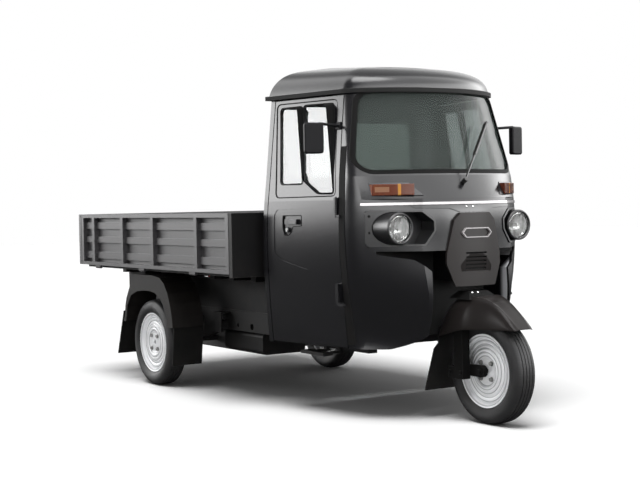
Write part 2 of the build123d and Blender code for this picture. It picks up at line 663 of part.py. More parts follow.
def tyre(x, y, side):
    """Tyre with four straight grooves in its tread."""
    half = TYRE_W / 2
    with BuildPart() as ring:
        with BuildSketch(wheel_section(x, y, side)):
            with BuildLine():
                Polyline((-BEAD, RIM_R + 5), (-BEAD, 165.3), (BEAD, 165.3), (BEAD, RIM_R + 5))
                ThreePointArc((BEAD, RIM_R + 5), (half, 207), (half - 10, 238))
                ThreePointArc((half - 10, 238), (half - 15, 243), (half - 22, TYRE_R - 3))
                ThreePointArc((half - 22, TYRE_R - 3), (0, TYRE_R), (22 - half, TYRE_R - 3))
                ThreePointArc((22 - half, TYRE_R - 3), (15 - half, 243), (10 - half, 238))
                ThreePointArc((10 - half, 238), (-half, 207), (-BEAD, RIM_R + 5))
            make_face()
            for groove_y in (-27, -9, 9, 27):
                with Locations((groove_y, TYRE_R)):
                    Rectangle(4, 10, mode=Mode.SUBTRACT)
        revolve(axis=Axis((x, y, TYRE_R), (0, 1, 0)))
    return ring.part


Wheel = namedtuple("Wheel", "name x y side")
WHEELS = [
    Wheel("front", WHEELBASE, 0.0, -1),
    Wheel("rear_right", 0.0, -REAR_TRACK_HALF, -1),
    Wheel("rear_left", 0.0, REAR_TRACK_HALF, 1),
]
for wheel in WHEELS:
    save(rim(wheel.x, wheel.y, wheel.side), f"{wheel.name}_rim")
    save(tyre(wheel.x, wheel.y, wheel.side), f"{wheel.name}_tyre")

# ---------------------------------------------------------------- steered front end
# One leg runs down the wheel's right side to a leading link that carries the axle.
LEG_OUTLINE = [
    (2086, 207), (2196, 207), (2196, 262), (2190, 600), (2132, 600), (2132, 262), (2086, 262),
]
LEG_FRONT_VIEW = [(-112, 200), (-68, 200), (-68, 508), (-40, 600), (-66, 600), (-112, 455)]
with BuildPart() as fork_leg:
    prism_y(LEG_OUTLINE, -112, -40)
    prism_x(LEG_FRONT_VIEW, 2000, 2300, mode=Mode.INTERSECT)
with BuildPart() as front_fork:
    with Locations(steer_place(196)):
        Cylinder(COLUMN_R, 400)
    with BuildSketch(Plane.XY.offset(582)):
        with Locations((2168, -14)):
            Rectangle(150, 180)
    with BuildSketch(Plane.XY.offset(616)):
        with Locations((2144, 0)):
            Rectangle(80, 110)
    loft()
    add(fork_leg.part)
    for x in (2104, 2176):
        with Locations(Location((x, -114, 238), (90, 0, 0))):
            Cylinder(9, 12)
save(front_fork.part, "front_fork")

with BuildPart() as front_arm:
    prism_y([(2132, 222), (2132, 272), (2276, 277), (2276, 221)], -68, -51)
    with Locations(Location((WHEELBASE, -62, TYRE_R), (90, 0, 0))):
        Cylinder(28, 26)
    with Locations(Location((WHEELBASE, -28, TYRE_R), (90, 0, 0))):
        Cylinder(AXLE_R, 120)
save(front_arm.part, "front_arm")

# Mudguard: a beaked hood whose sides lean out to clear the leg, open below.
GUARD_WALL = 4.0
GUARD_SIDE = [
    (1998, 300), (1998, 420), (2040, 510), (2090, 560), (2150, 585), (2220, 594), (2290, 588),
    (2332, 575), (2370, 558), (2434, 517), (2476, 481), (2504, 454), (2504, 300),
]
GUARD_PLAN = [
    (1990, 100), (2060, 120), (2120, 128), (2200, 128), (2262, 102), (2330, 80), (2440, 71),
    (2480, 61), (2510, 45),
]
GUARD_FRONT_VIEW = [(-128, 300), (-128, 430), (-64, 596), (64, 596), (128, 430), (128, 300)]
UNDER_GUARD = [
    (1980, 200), (1980, 395), (2060, 402), (2120, 421), (2230, 439), (2300, 441), (2520, 447),
    (2520, 200),
]


def guard_form(inset=0.0):
    """The filled mudguard, its sides and top moved in by inset."""
    plan = GUARD_PLAN + [(x, -half) for x, half in reversed(GUARD_PLAN)]
    with BuildPart() as form:
        prism_y(GUARD_SIDE, -140, 140, grow=-inset)
        prism_x(GUARD_FRONT_VIEW, 1900, 2600, mode=Mode.INTERSECT, grow=-inset)
        with BuildSketch(Plane.XY.offset(250)) as outline:
            with BuildLine():
                Polyline(*plan, close=True)
            make_face()
            if inset:
                offset(amount=-inset)
        extrude(outline.sketch, amount=400, mode=Mode.INTERSECT)
    return form.part


with BuildPart() as front_mudguard:
    add(guard_form())
    add(guard_form(GUARD_WALL), mode=Mode.SUBTRACT)
    prism_y(UNDER_GUARD, -140, 140, mode=Mode.SUBTRACT)
    add(front_fork.part, mode=Mode.SUBTRACT)
save(front_mudguard.part, "front_mudguard")

FLAP_FRONT_VIEW = [
    (-88, 440), (88, 440), (96, 362), (122, 336), (178, 140), (-178, 140), (-122, 336), (-96, 362),
]
with BuildPart() as front_flap:
    prism_y([(1991, 440), (1996, 440), (1992, 140), (1987, 140)], -200, 200)
    prism_x(FLAP_FRONT_VIEW, 1900, 2100, mode=Mode.INTERSECT)
save(front_flap.part, "front_flap")

# Handlebar on top of the steering column, swept back to its grips.
BAR_R, GRIP_R = 11.0, 16.0
BAR_PLACE = steer_place(396)
BAR_BEND, BAR_ELBOW, BAR_END = (-22, 100, 30), (-84, 180, 56), (-172, 224, 74)
with BuildPart() as handlebar:
    with Locations((0, 0, 7)):
        Cylinder(30, 14)
    for side in (1, -1):
        bend = Vector(BAR_BEND[0], side * BAR_BEND[1], BAR_BEND[2])
        elbow = Vector(BAR_ELBOW[0], side * BAR_ELBOW[1], BAR_ELBOW[2])
        end = Vector(BAR_END[0], side * BAR_END[1], BAR_END[2])
        rod(Vector(0, 0, 13), bend, BAR_R)
        rod(bend, elbow, BAR_R)
        rod(elbow, end, BAR_R)
        rod(elbow + (end - elbow) * 0.15, end, GRIP_R)
save(handlebar.part.moved(BAR_PLACE), "handlebar")

# ---------------------------------------------------------------- chassis and rear end
RAIL_LOW_Z, RAIL_HIGH_Z = 348.0, 460.0
RAIL_HALF_W = 30.0
RAIL_REAR_X = -772.0
RailHole = namedtuple("RailHole", "x radius")
RAIL_HOLES = [RailHole(635, 11), RailHole(789, 17), RailHole(1010, 11), RailHole(1120, 11)]
RAIL_HOLE_Z = 378.0
with BuildPart() as chassis_rails:
    for side in (1, -1):
        rail = side_span(side, RAIL_HALF - RAIL_HALF_W, RAIL_HALF + RAIL_HALF_W)
        box_between((RAIL_REAR_X, rail[0], RAIL_LOW_Z), (CAB_REAR_X, rail[1], RAIL_HIGH_Z))
        shelf = side_span(side, RAIL_HALF + RAIL_HALF_W - 1, 494)
        box_between((470, shelf[0], 440), (555, shelf[1], 448))
        hanger = side_span(side, 486, 494)
        box_between((470, hanger[0], 336), (555, hanger[1], 448))
    for hole in RAIL_HOLES:
        with Locations(Location((hole.x, 0, RAIL_HOLE_Z), (90, 0, 0))):
            Cylinder(hole.radius, 2 * (RAIL_HALF + RAIL_HALF_W) + 2, mode=Mode.SUBTRACT)
save(chassis_rails.part, "chassis_rails")

CROSS_X = [-742, -330, 420, 900]
CROSS_HALF = RAIL_HALF - RAIL_HALF_W
TOW_EYE_X, TOW_EYE_Z, TOW_EYE_R, TOW_EYE_W = -765.0, 326.0, 11.0, 14.0
with BuildPart() as cross_members:
    for x in CROSS_X:
        box_between((x - 30, -CROSS_HALF, RAIL_LOW_Z + 12), (x + 30, CROSS_HALF, RAIL_HIGH_Z - 12))
    box_between((TOW_EYE_X - 21, -TOW_EYE_W / 2, 304), (TOW_EYE_X + 22, TOW_EYE_W / 2, RAIL_LOW_Z + 14))
    with Locations(Location((TOW_EYE_X, 0, TOW_EYE_Z), (90, 0, 0))):
        Cylinder(TOW_EYE_R, 60, mode=Mode.SUBTRACT)
save(cross_members.part, "cross_members")

BED_REAR_X, BED_FRONT_X = TRAY_REAR_X + 37, TRAY_FRONT_X - 36
BED_HALF = 700.0
BED_TOP_Z, BED_LOW_Z = 690.0, 672.0
BEARER_H = 45.0
HEADBOARD_W = 30.0
BEARERS_X = [-755, -480, -200, 110, 420, 640, 880, 1085]
BEARER_HALF = 470.0
with BuildPart() as tray_bed:
    box_between((BED_REAR_X, -BED_HALF, BED_LOW_Z), (TRAY_FRONT_X - HEADBOARD_W, BED_HALF, BED_TOP_Z))
    for x in BEARERS_X:
        box_between((x - 25, -BEARER_HALF, BED_LOW_Z - BEARER_H), (x + 25, BEARER_HALF, BED_LOW_Z))
    for side in (1, -1):
        runner = side_span(side, RAIL_HALF - 25, RAIL_HALF + 25)
        box_between((BED_REAR_X, runner[0], RAIL_HIGH_Z), (TRAY_FRONT_X, runner[1], BED_LOW_Z - BEARER_H))
save(tray_bed.part, "tray_bed")

with BuildPart() as headboard:
    box_between((TRAY_FRONT_X - HEADBOARD_W, -TRAY_HALF, BED_LOW_Z), (TRAY_FRONT_X, TRAY_HALF, TRAY_TOP_Z))
save(headboard.part, "headboard")

# Drop sides: a flat skin inside, vertical channels and three pressed ribs outside.
SIDE_SKIN = 6.0
SIDE_IN = BED_HALF + 6
SIDE_HINGE_Y, TRAY_HINGE_Z = 729.0, 676.0
SIDE_LOW_Z = BED_TOP_Z - 2
SIDE_CHANNELS_X = [-619, -202, 204, 733]   # rear face of each channel
CHANNEL_W = 34.0
RIB_BANDS_Z = [(729, 770), (826, 863), (910, 950)]
RIB_DEPTH = 14.0
EDGE_BANDS_Z = [(SIDE_LOW_Z, SIDE_LOW_Z + 20), (TRAY_TOP_Z - 22, TRAY_TOP_Z)]
BARREL_R = 8.0
SIDE_BARRELS_X = [-560, 60, 690]


def drop_side(side):
    """One side panel of the tray; side is -1 for the right."""
    rear_x, front_x = BED_REAR_X, BED_FRONT_X
    skin = side_span(side, SIDE_IN, SIDE_IN + SIDE_SKIN)
    channel = side_span(side, SIDE_IN + SIDE_SKIN, TRAY_HALF)
    rib = side_span(side, SIDE_IN + SIDE_SKIN, SIDE_IN + SIDE_SKIN + RIB_DEPTH)
    strap = side_span(side, SIDE_IN + SIDE_SKIN + 9, SIDE_HINGE_Y + BARREL_R)
    with BuildPart() as panel:
        box_between((rear_x, skin[0], SIDE_LOW_Z), (front_x, skin[1], TRAY_TOP_Z))
        for z_low, z_high in EDGE_BANDS_Z:
            box_between((rear_x, channel[0], z_low), (front_x, channel[1], z_high))
        for x in [rear_x] + SIDE_CHANNELS_X + [front_x - CHANNEL_W]:
            box_between((x, channel[0], SIDE_LOW_Z), (x + CHANNEL_W, channel[1], TRAY_TOP_Z))
        for z_low, z_high in RIB_BANDS_Z:
            box_between((rear_x, rib[0], z_low), (front_x, rib[1], z_high))
        for x in SIDE_BARRELS_X:
            with Locations(Location((x, side * SIDE_HINGE_Y, TRAY_HINGE_Z), (0, 90, 0))):
                Cylinder(BARREL_R, 70)
            box_between((x - 35, strap[0], TRAY_HINGE_Z), (x + 35, strap[1], SIDE_LOW_Z + 2))
    return panel.part


for word, side in (("right", -1), ("left", 1)):
    save(drop_side(side), f"tray_side_{word}")

# Tailgate across the full width, built like the sides.
GATE_IN_X = BED_REAR_X - 6
GATE_HINGE_X = TRAY_REAR_X + 16
GATE_CHANNELS_Y = [-728, -250, 250, 728]
with BuildPart() as tailgate:
    skin_x = GATE_IN_X - SIDE_SKIN
    box_between((skin_x, -TRAY_HALF, SIDE_LOW_Z), (GATE_IN_X, TRAY_HALF, TRAY_TOP_Z))
    for z_low, z_high in EDGE_BANDS_Z:
        box_between((TRAY_REAR_X, -TRAY_HALF, z_low), (skin_x, TRAY_HALF, z_high))
    for y in GATE_CHANNELS_Y:
        box_between((TRAY_REAR_X, y - CHANNEL_W / 2, SIDE_LOW_Z), (skin_x, y + CHANNEL_W / 2, TRAY_TOP_Z))
    for z_low, z_high in RIB_BANDS_Z:
        box_between((skin_x - RIB_DEPTH, -TRAY_HALF, z_low), (GATE_IN_X, TRAY_HALF, z_high))
    for y in (-450, 0, 450):
        with Locations(Location((GATE_HINGE_X, y, TRAY_HINGE_Z), (90, 0, 0))):
            Cylinder(BARREL_R, 70)
        box_between((GATE_HINGE_X - 8, y - 35, TRAY_HINGE_Z), (GATE_HINGE_X + 2, y + 35, SIDE_LOW_Z + 2))
save(tailgate.part, "tailgate")

# Rear wheel arches: a broad outer face with a half-round opening, and a tread sheet behind it.
ARCH_OUTLINE = [
    (-290, 352), (-262, 390), (-252, 452), (-234, 500), (-196, 556), (-150, 612), (-118, 646),
    (130, 646), (214, 636), (268, 606), (312, 552), (340, 495), (362, 420), (372, 352),
]
ARCH_OPENING = [
    (-262, 300), (-240, 388), (-224, 458), (-168, 520), (-90, 546), (-6, 554), (76, 556),
    (146, 548), (214, 521), (252, 484), (300, 400), (322, 300),
]
ARCH_IN, ARCH_OUT = 505.0, 700.0
ARCH_WALL = 5.0


def rear_arch(side):
    """One rear wheel arch."""
    with BuildPart() as arch:
        prism_y(ARCH_OUTLINE, *side_span(side, ARCH_IN, ARCH_OUT))
        inside = side_span(side, ARCH_IN - 10, ARCH_OUT - ARCH_WALL)
        prism_y(ARCH_OUTLINE, *inside, mode=Mode.SUBTRACT, grow=-ARCH_WALL)
        prism_y(ARCH_OPENING, *side_span(side, ARCH_OUT - 30, ARCH_OUT + 30), mode=Mode.SUBTRACT)
        box_between((-500, -REACH, 300), (500, REACH, 360), mode=Mode.SUBTRACT)
    return arch.part


with BuildPart() as rear_arches:
    for side in (1, -1):
        add(rear_arch(side))
save(rear_arches.part, "rear_arches")

REAR_FLAP = [(-397, 155), (-301, 420), (-295, 420), (-391, 155)]
SPLASH_FLAP = [(306, 140), (346, 420), (351, 420), (311, 140)]
with BuildPart() as rear_flaps:
    for side in (1, -1):
        prism_y(REAR_FLAP, *side_span(side, 530, 690))
        prism_y(SPLASH_FLAP, *side_span(side, 490, 676))
save(rear_flaps.part, "rear_flaps")

# Trailing arms with the stub axles on which the rear wheels turn.
ARM_HALF = 462.0
ARM_OUTLINE = [(-45, 215), (-45, 285), (470, 400), (540, 395), (540, 350), (60, 215)]
with BuildPart() as rear_suspension:
    for side in (1, -1):
        prism_y(ARM_OUTLINE, side * ARM_HALF - 22, side * ARM_HALF + 22)
        with Locations(Location((0, side * 520, TYRE_R), (90, 0, 0))):
            Cylinder(AXLE_R, 190)
        with Locations(Location((0, side * 494, TYRE_R), (90, 0, 0))):
            Cylinder(88, 20)
        with Locations(Location((510, side * 452, 375), (90, 0, 0))):
            Cylinder(20, 42)
        with BuildSketch(Plane(origin=(90, side * ARM_HALF, 300), z_dir=(-0.1, 0, 1))):
            Circle(24)
        extrude(amount=320)
save(rear_suspension.part, "rear_suspension")

with BuildPart() as powertrain:
    box_between((-210, -220, 190), (330, 220, 366))
    for side in (1, -1):
        with Locations(Location((0, side * 320, TYRE_R), (90, 0, 0))):
            Cylinder(16, 208)
save(powertrain.part, "powertrain")

with BuildPart() as fuel_tank:
    box_between((430, -400, 226), (850, -130, 343))
    fillet(fuel_tank.edges().filter_by(Axis.X), 24)
save(fuel_tank.part, "fuel_tank")

with BuildPart() as battery_box:
    box_between((450, 150, 226), (720, 380, 343))
    fillet(battery_box.edges().filter_by(Axis.Z), 12)
save(battery_box.part, "battery_box")

TAIL_LAMP_Y = 220.0
with BuildPart() as tail_lamps:
    for side in (1, -1):
        box_between((-776, side * TAIL_LAMP_Y - 80, 545), (-735, side * TAIL_LAMP_Y + 80, 622))
    fillet(tail_lamps.edges().filter_by(Axis.X), 10)
    for side in (1, -1):
        box_between(
            (-760, side * TAIL_LAMP_Y - 20, 621), (-745, side * TAIL_LAMP_Y + 20, BED_LOW_Z - BEARER_H)
        )
save(tail_lamps.part, "tail_lamps")

with BuildPart() as plate_holder:
    box_between((-776, -110, 500), (-770, 110, 620))
    box_between((-770, -30, 560), (-745, 30, BED_LOW_Z - BEARER_H))
save(plate_holder.part, "plate_holder")

# ---------------------------------------------------------------- cab interior
SEAT_HALF = 440.0
with BuildPart() as seat_base:
    box_between((1262, -SEAT_HALF, CAB_FLOOR_Z + 20), (1580, SEAT_HALF, 640))
save(seat_base.part, "seat_base")

with BuildPart() as seat_cushion:
    box_between((1268, -SEAT_HALF, 640), (1610, SEAT_HALF, 740))
    fillet(seat_cushion.edges().filter_by(Axis.Y), 25)
save(seat_cushion.part, "seat_cushion")

with BuildPart() as seat_backrest:
    prism_y([(1262, 745), (1350, 745), (1318, 1140), (1262, 1140)], -SEAT_HALF, SEAT_HALF, corner_r=22)
save(seat_backrest.part, "seat_backrest")

SHELF_OUTLINE = [(1972, 1122), (2300, 1114), (2300, 1148), (1972, 1148)]
with BuildPart() as dashboard:
    add(cabin_form(DOOR_WALL + 1))
    prism_y(SHELF_OUTLINE, -REACH, REACH, mode=Mode.INTERSECT)
save(dashboard.part, "dashboard")
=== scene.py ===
"""Three-wheeled cargo auto rickshaw: finishes and small fittings on the built frame, in metres."""

from math import cos, pi, radians, sin

import bmesh
import bpy
from mathutils import Matrix, Vector
from mathutils.bvhtree import BVHTree


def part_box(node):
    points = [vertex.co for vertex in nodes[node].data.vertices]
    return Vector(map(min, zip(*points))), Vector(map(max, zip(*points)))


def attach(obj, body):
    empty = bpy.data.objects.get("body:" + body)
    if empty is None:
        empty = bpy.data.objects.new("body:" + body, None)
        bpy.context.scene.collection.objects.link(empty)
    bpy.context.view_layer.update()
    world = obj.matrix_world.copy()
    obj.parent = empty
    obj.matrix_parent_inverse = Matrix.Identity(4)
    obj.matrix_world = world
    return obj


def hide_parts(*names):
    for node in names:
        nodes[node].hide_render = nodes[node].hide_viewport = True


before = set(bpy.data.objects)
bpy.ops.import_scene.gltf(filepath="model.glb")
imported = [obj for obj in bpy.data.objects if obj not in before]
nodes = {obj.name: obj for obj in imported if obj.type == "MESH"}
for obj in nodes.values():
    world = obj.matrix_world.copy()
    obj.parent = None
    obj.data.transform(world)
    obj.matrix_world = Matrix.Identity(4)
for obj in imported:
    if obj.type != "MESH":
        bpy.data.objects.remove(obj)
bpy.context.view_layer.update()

# ---------------------------------------------------------------- camera
# A long lens stands off the right front corner, a little over a metre up.
CAMERA_AT = Vector((6.1166, -3.9836, 1.0427))
CAMERA_YAW, CAMERA_PITCH, CAMERA_ROLL = radians(57.05), radians(1.61), radians(-1.11)
LENS_MM, SENSOR_MM, FARTHEST = 73.94, 36.0, 200.0

ahead = Vector((
    -sin(CAMERA_YAW) * cos(CAMERA_PITCH), cos(CAMERA_YAW) * cos(CAMERA_PITCH), -sin(CAMERA_PITCH),
))
level = Vector((cos(CAMERA_YAW), sin(CAMERA_YAW), 0.0))
upright = level.cross(ahead)
across = level * cos(CAMERA_ROLL) + upright * sin(CAMERA_ROLL)
upward = upright * cos(CAMERA_ROLL) - level * sin(CAMERA_ROLL)
camera_data = bpy.data.cameras.new("view_camera")
camera_data.lens, camera_data.sensor_width, camera_data.clip_end = LENS_MM, SENSOR_MM, FARTHEST
camera = bpy.data.objects.new("view_camera", camera_data)
camera.matrix_world = Matrix((
    (across.x, upward.x, -ahead.x, CAMERA_AT.x),
    (across.y, upward.y, -ahead.y, CAMERA_AT.y),
    (across.z, upward.z, -ahead.z, CAMERA_AT.z),
    (0.0, 0.0, 0.0, 1.0),
))
bpy.context.scene.collection.objects.link(camera)
bpy.context.scene.camera = camera
bpy.context.scene.view_settings.view_transform = "Standard"


# ---------------------------------------------------------------- sky, floor and lamps
# A white studio. The sky gives matt things an even light, and reflections see a gradient in it:
# dim below the horizon, brightest in a belt above it, dark high over the near side and past the
# far side.
def wire(tree, kind, inputs=None, **settings):
    """Adds one node, sets it up, and links or fills its inputs."""
    node = tree.nodes.new(kind)
    for name, value in settings.items():
        setattr(node, name, value)
    for name, value in (inputs or {}).items():
        if isinstance(value, bpy.types.NodeSocket):
            tree.links.new(value, node.inputs[name])
        else:
            node.inputs[name].default_value = value
    return node


def number_step(tree, operation, *values):
    """One step of arithmetic on numbers or sockets."""
    return wire(tree, "ShaderNodeMath", dict(enumerate(values)), operation=operation).outputs[0]


def vector_step(tree, operation, *values):
    """One step on vectors; a dot product or a length comes back as a number."""
    node = wire(tree, "ShaderNodeVectorMath", dict(enumerate(values)), operation=operation)
    return node.outputs["Value" if operation in ("DOT_PRODUCT", "LENGTH") else "Vector"]


def ramp(tree, value, from_low, from_high, to_low=0.0, to_high=1.0, easing="LINEAR"):
    """Carries a value from one span to another and holds it at the ends."""
    return wire(tree, "ShaderNodeMapRange", {
        "Value": value, "From Min": from_low, "From Max": from_high, "To Min": to_low, "To Max": to_high,
    }, interpolation_type=easing).outputs[0]


def by_ray(tree, scattered, mirrored, straight):
    """One shader for scattered light, one for reflections, one for what is looked at or seen through."""
    path = wire(tree, "ShaderNodeLightPath").outputs
    looked_at = number_step(tree, "MAXIMUM", path["Is Camera Ray"], path["Is Transmission Ray"])
    indirect = wire(tree, "ShaderNodeMixShader", {
        "Fac": path["Is Glossy Ray"], 1: scattered.outputs[0], 2: mirrored.outputs[0],
    })
    return wire(tree, "ShaderNodeMixShader", {
        "Fac": looked_at, 1: indirect.outputs[0], 2: straight.outputs[0],
    }).outputs[0]


WHITE = (1, 1, 1, 1)
SKY_LIGHT, BACKDROP_LIGHT = 0.26, 1.0
SHEEN_LOW, SHEEN_HIGH, SHEEN_BELT = 0.12, 3.2, 4.2
# Spans of the direction's height over which the sheen sets in, and the belt starts and ends.
HORIZON_SPAN, BELT_START, BELT_END = (-0.04, 0.13), (0.06, 0.22), (0.3, 0.6)
# A direction, the span of the cosine to it over which the sheen changes, and the share left.
SHADED_WAY, SHADED_SPAN, SHADED_SHARE = (0.0, -0.8, 0.6), (0.78, 0.87), 0.08
NEAR_WAY, FAR_SPAN, FAR_SHARE = (0.84, -0.545, 0.0), (-0.9, -0.65), 0.2

studio = bpy.data.worlds.new("studio")
bpy.context.scene.world = studio
studio.use_nodes = True
sky = studio.node_tree
sky.nodes.clear()
sky_way = wire(sky, "ShaderNodeTexCoord").outputs["Generated"]
sky_height = wire(sky, "ShaderNodeSeparateXYZ", {0: sky_way}).outputs["Z"]
sky_rise = ramp(sky, sky_height, *HORIZON_SPAN, SHEEN_LOW, SHEEN_HIGH, "SMOOTHSTEP")
belt_low = ramp(sky, sky_height, *BELT_START, 0.0, SHEEN_BELT, "SMOOTHSTEP")
belt_high = ramp(sky, sky_height, *BELT_END, 1.0, 0.0, "SMOOTHSTEP")
level_way = vector_step(sky, "NORMALIZE", vector_step(sky, "MULTIPLY", sky_way, (1, 1, 0)))
toward_shade = vector_step(sky, "DOT_PRODUCT", sky_way, SHADED_WAY)
toward_near = vector_step(sky, "DOT_PRODUCT", level_way, NEAR_WAY)
shaded = ramp(sky, toward_shade, *SHADED_SPAN, 1.0, SHADED_SHARE, "SMOOTHSTEP")
past_far = ramp(sky, toward_near, *FAR_SPAN, FAR_SHARE, 1.0, "SMOOTHSTEP")
sheen_belt = number_step(sky, "MULTIPLY_ADD", belt_low, belt_high, sky_rise)
sheen_sides = number_step(sky, "MULTIPLY", shaded, past_far)
sheen_power = number_step(sky, "MULTIPLY", sheen_belt, sheen_sides)
wire(sky, "ShaderNodeOutputWorld", {"Surface": by_ray(
    sky,
    wire(sky, "ShaderNodeBackground", {"Color": WHITE, "Strength": SKY_LIGHT}),
    wire(sky, "ShaderNodeBackground", {"Color": WHITE, "Strength": sheen_power}),
    wire(sky, "ShaderNodeBackground", {"Color": WHITE, "Strength": BACKDROP_LIGHT}),
)})

# The floor is one sheet: pale for the light it throws up, dim in reflections, white to look at.
FLOOR_PALE, FLOOR_MIRRORED, FLOOR_SEEN = (0.8, 0.8, 0.8, 1.0), (0.12, 0.12, 0.12, 1.0), WHITE
FLOOR_SIZE = 60.0
floor_paint = bpy.data.materials.new("floor_paint")
floor_paint.use_nodes = True
floor_tree = floor_paint.node_tree
floor_tree.nodes.clear()
wire(floor_tree, "ShaderNodeOutputMaterial", {"Surface": by_ray(floor_tree, *(
    wire(floor_tree, "ShaderNodeBsdfDiffuse", {"Color": tone})
    for tone in (FLOOR_PALE, FLOOR_MIRRORED, FLOOR_SEEN)
))})
floor_mesh = bpy.data.meshes.new("floor")
half_floor = FLOOR_SIZE / 2
floor_mesh.from_pydata(
    [(-half_floor, -half_floor, 0), (half_floor, -half_floor, 0),
     (half_floor, half_floor, 0), (-half_floor, half_floor, 0)],
    [], [(0, 1, 2, 3)],
)
floor_mesh.materials.append(floor_paint)
floor = bpy.data.objects.new("floor", floor_mesh)
bpy.context.scene.collection.objects.link(floor)

# A wide soft sun stands high over the near side. Two soft boxes, one off the nose and one behind
# the near side, only show as sheen in the gloss; they add no light of their own to matt things.
SUN_POWER, SUN_WIDTH, SUN_TILT = 2.75, radians(36), (radians(14), radians(10), 0)
SOFT_BOXES = (      # name, where it stands, what it looks at, (width, height), power
    ("nose_soft_box", (5.6, 2.9, 1.9), (1.2, 0.0, 1.2), (3.6, 1.8), 110.0),
    ("side_soft_box", (-3.7, -3.2, 2.1), (0.6, -0.5, 1.3), (5.2, 2.0), 150.0),
)
sun_data = bpy.data.lights.new("high_sun", "SUN")
sun_data.energy, sun_data.angle = SUN_POWER, SUN_WIDTH
sun = bpy.data.objects.new("high_sun", sun_data)
sun.rotation_euler = SUN_TILT
bpy.context.scene.collection.objects.link(sun)
for box_name, stands, looks_at, (box_w, box_h), power in SOFT_BOXES:
    box_data = bpy.data.lights.new(box_name, "AREA")
    box_data.shape, box_data.size, box_data.size_y = "RECTANGLE", box_w, box_h
    box_data.energy = power
    soft_box = bpy.data.objects.new(box_name, box_data)
    soft_box.location = stands
    toward = Vector(looks_at) - Vector(stands)
    soft_box.rotation_euler = toward.to_track_quat("-Z", "Y").to_euler()
    soft_box.visible_camera = False
    soft_box.visible_diffuse = False
    bpy.context.scene.collection.objects.link(soft_box)


# ---------------------------------------------------------------- chassis and rear running gear
# Two pressed box members with cross members, trailing arms and the drive block between them:
# steel, brushed with satin black paint, dusty low down and rubbed bare on the edges.
def new_group(name, values, results):
    """An empty node group with those named inputs and outputs; returns tree, input, output."""
    tree = bpy.data.node_groups.new(name, "ShaderNodeTree")
    for label, kind, value in values:
        tree.interface.new_socket(label, in_out="INPUT", socket_type=kind).default_value = value
    for label, kind in results:
        tree.interface.new_socket(label, in_out="OUTPUT", socket_type=kind)
    return tree, tree.nodes.new("NodeGroupInput"), tree.nodes.new("NodeGroupOutput")


def own_place(tree):
    """The point of the surface in the object's own coordinates."""
    return wire(tree, "ShaderNodeTexCoord").outputs["Object"]


def own_axis(tree, axis):
    """One of the point's own coordinates."""
    return wire(tree, "ShaderNodeSeparateXYZ", {0: own_place(tree)}).outputs[axis]


def mottle(tree, scale, detail, roughness=0.5):
    """Noise over the object's own coordinates."""
    return wire(tree, "ShaderNodeTexNoise", {
        "Vector": own_place(tree), "Scale": scale, "Detail": detail, "Roughness": roughness,
    }).outputs[0]


def blend(tree, share, first, second):
    """A colour between two, each a socket or (red, green, blue)."""
    first, second = (c if isinstance(c, bpy.types.NodeSocket) else (*c, 1) for c in (first, second))
    return wire(tree, "ShaderNodeMix", {0: share, 6: first, 7: second}, data_type="RGBA").outputs[2]


NUMBER, TINT = "NodeSocketFloat", "NodeSocketColor"

# Road dust: thickest low down and in blotches, it lightens the colour and dulls the gloss.
DUST_TINT, DUST_DULLS = (0.16, 0.14, 0.12), 0.6
DUST_FULL_BELOW, DUST_LEFT_ABOVE = 0.1, 0.15
DUST_BLOTCHES, BLOTCH_SPAN = (9.0, 8.0, 0.7), (0.35, 0.75)
road_dust, dust_in, dust_out = new_group("road_dust", (
    ("Clean", TINT, (0.02, 0.02, 0.02, 1)), ("Gloss", NUMBER, 0.3), ("Amount", NUMBER, 0.2),
    ("Top", NUMBER, 1.0),
), (("Color", TINT), ("Roughness", NUMBER)))
dust_top = dust_in.outputs["Top"]
low_down = ramp(road_dust, own_axis(road_dust, "Z"), DUST_FULL_BELOW, dust_top, 1.0, DUST_LEFT_ABOVE)
broken = ramp(road_dust, mottle(road_dust, *DUST_BLOTCHES), *BLOTCH_SPAN)
thick = number_step(road_dust, "MULTIPLY", low_down, broken)
dusty = number_step(road_dust, "MULTIPLY", thick, dust_in.outputs["Amount"])
dulled = number_step(road_dust, "MULTIPLY_ADD", dusty, DUST_DULLS, dust_in.outputs["Gloss"])
road_dust.links.new(blend(road_dust, dusty, dust_in.outputs["Clean"], DUST_TINT), dust_out.inputs["Color"])
road_dust.links.new(dulled, dust_out.inputs["Roughness"])

# Paint texture: the slight ripple of sprayed or brushed paint, as a height.
RIPPLE_SCALE, RIPPLE_DETAIL, RIPPLE_HEIGHT = 180.0, 2.0, 0.002
COAT_ROUGHNESS = 0.06
paint_ripple, ripple_in, ripple_out = new_group("paint_ripple", (
    ("Scale", NUMBER, RIPPLE_SCALE),
), (("Height", NUMBER),))
paint_ripple.links.new(
    mottle(paint_ripple, ripple_in.outputs["Scale"], RIPPLE_DETAIL), ripple_out.inputs["Height"])

# Rubbed edges: where the rounded normal leaves the true one, broken up by noise.
EDGE_RADIUS, EDGE_SAMPLES, RUB_NOISE, RUB_FULL = 0.004, 4, (60.0, 5.0), 0.3
rubbed_edges, rubbed_in, rubbed_out = new_group("rubbed_edges", (
    ("Spread", NUMBER, 0.12),
), (("Mask", NUMBER),))
true_normal = wire(rubbed_edges, "ShaderNodeNewGeometry").outputs["Normal"]
rounded = wire(rubbed_edges, "ShaderNodeBevel", {"Radius": EDGE_RADIUS}, samples=EDGE_SAMPLES)
agreement = vector_step(rubbed_edges, "DOT_PRODUCT", true_normal, rounded.outputs[0])
turned_away = number_step(rubbed_edges, "SUBTRACT", 1.0, agreement)
rub_noise = mottle(rubbed_edges, *RUB_NOISE)
rub_limit = number_step(rubbed_edges, "MULTIPLY", rub_noise, rubbed_in.outputs["Spread"])
rubbed_edges.links.new(ramp(rubbed_edges, turned_away, rub_limit, RUB_FULL), rubbed_out.inputs["Mask"])


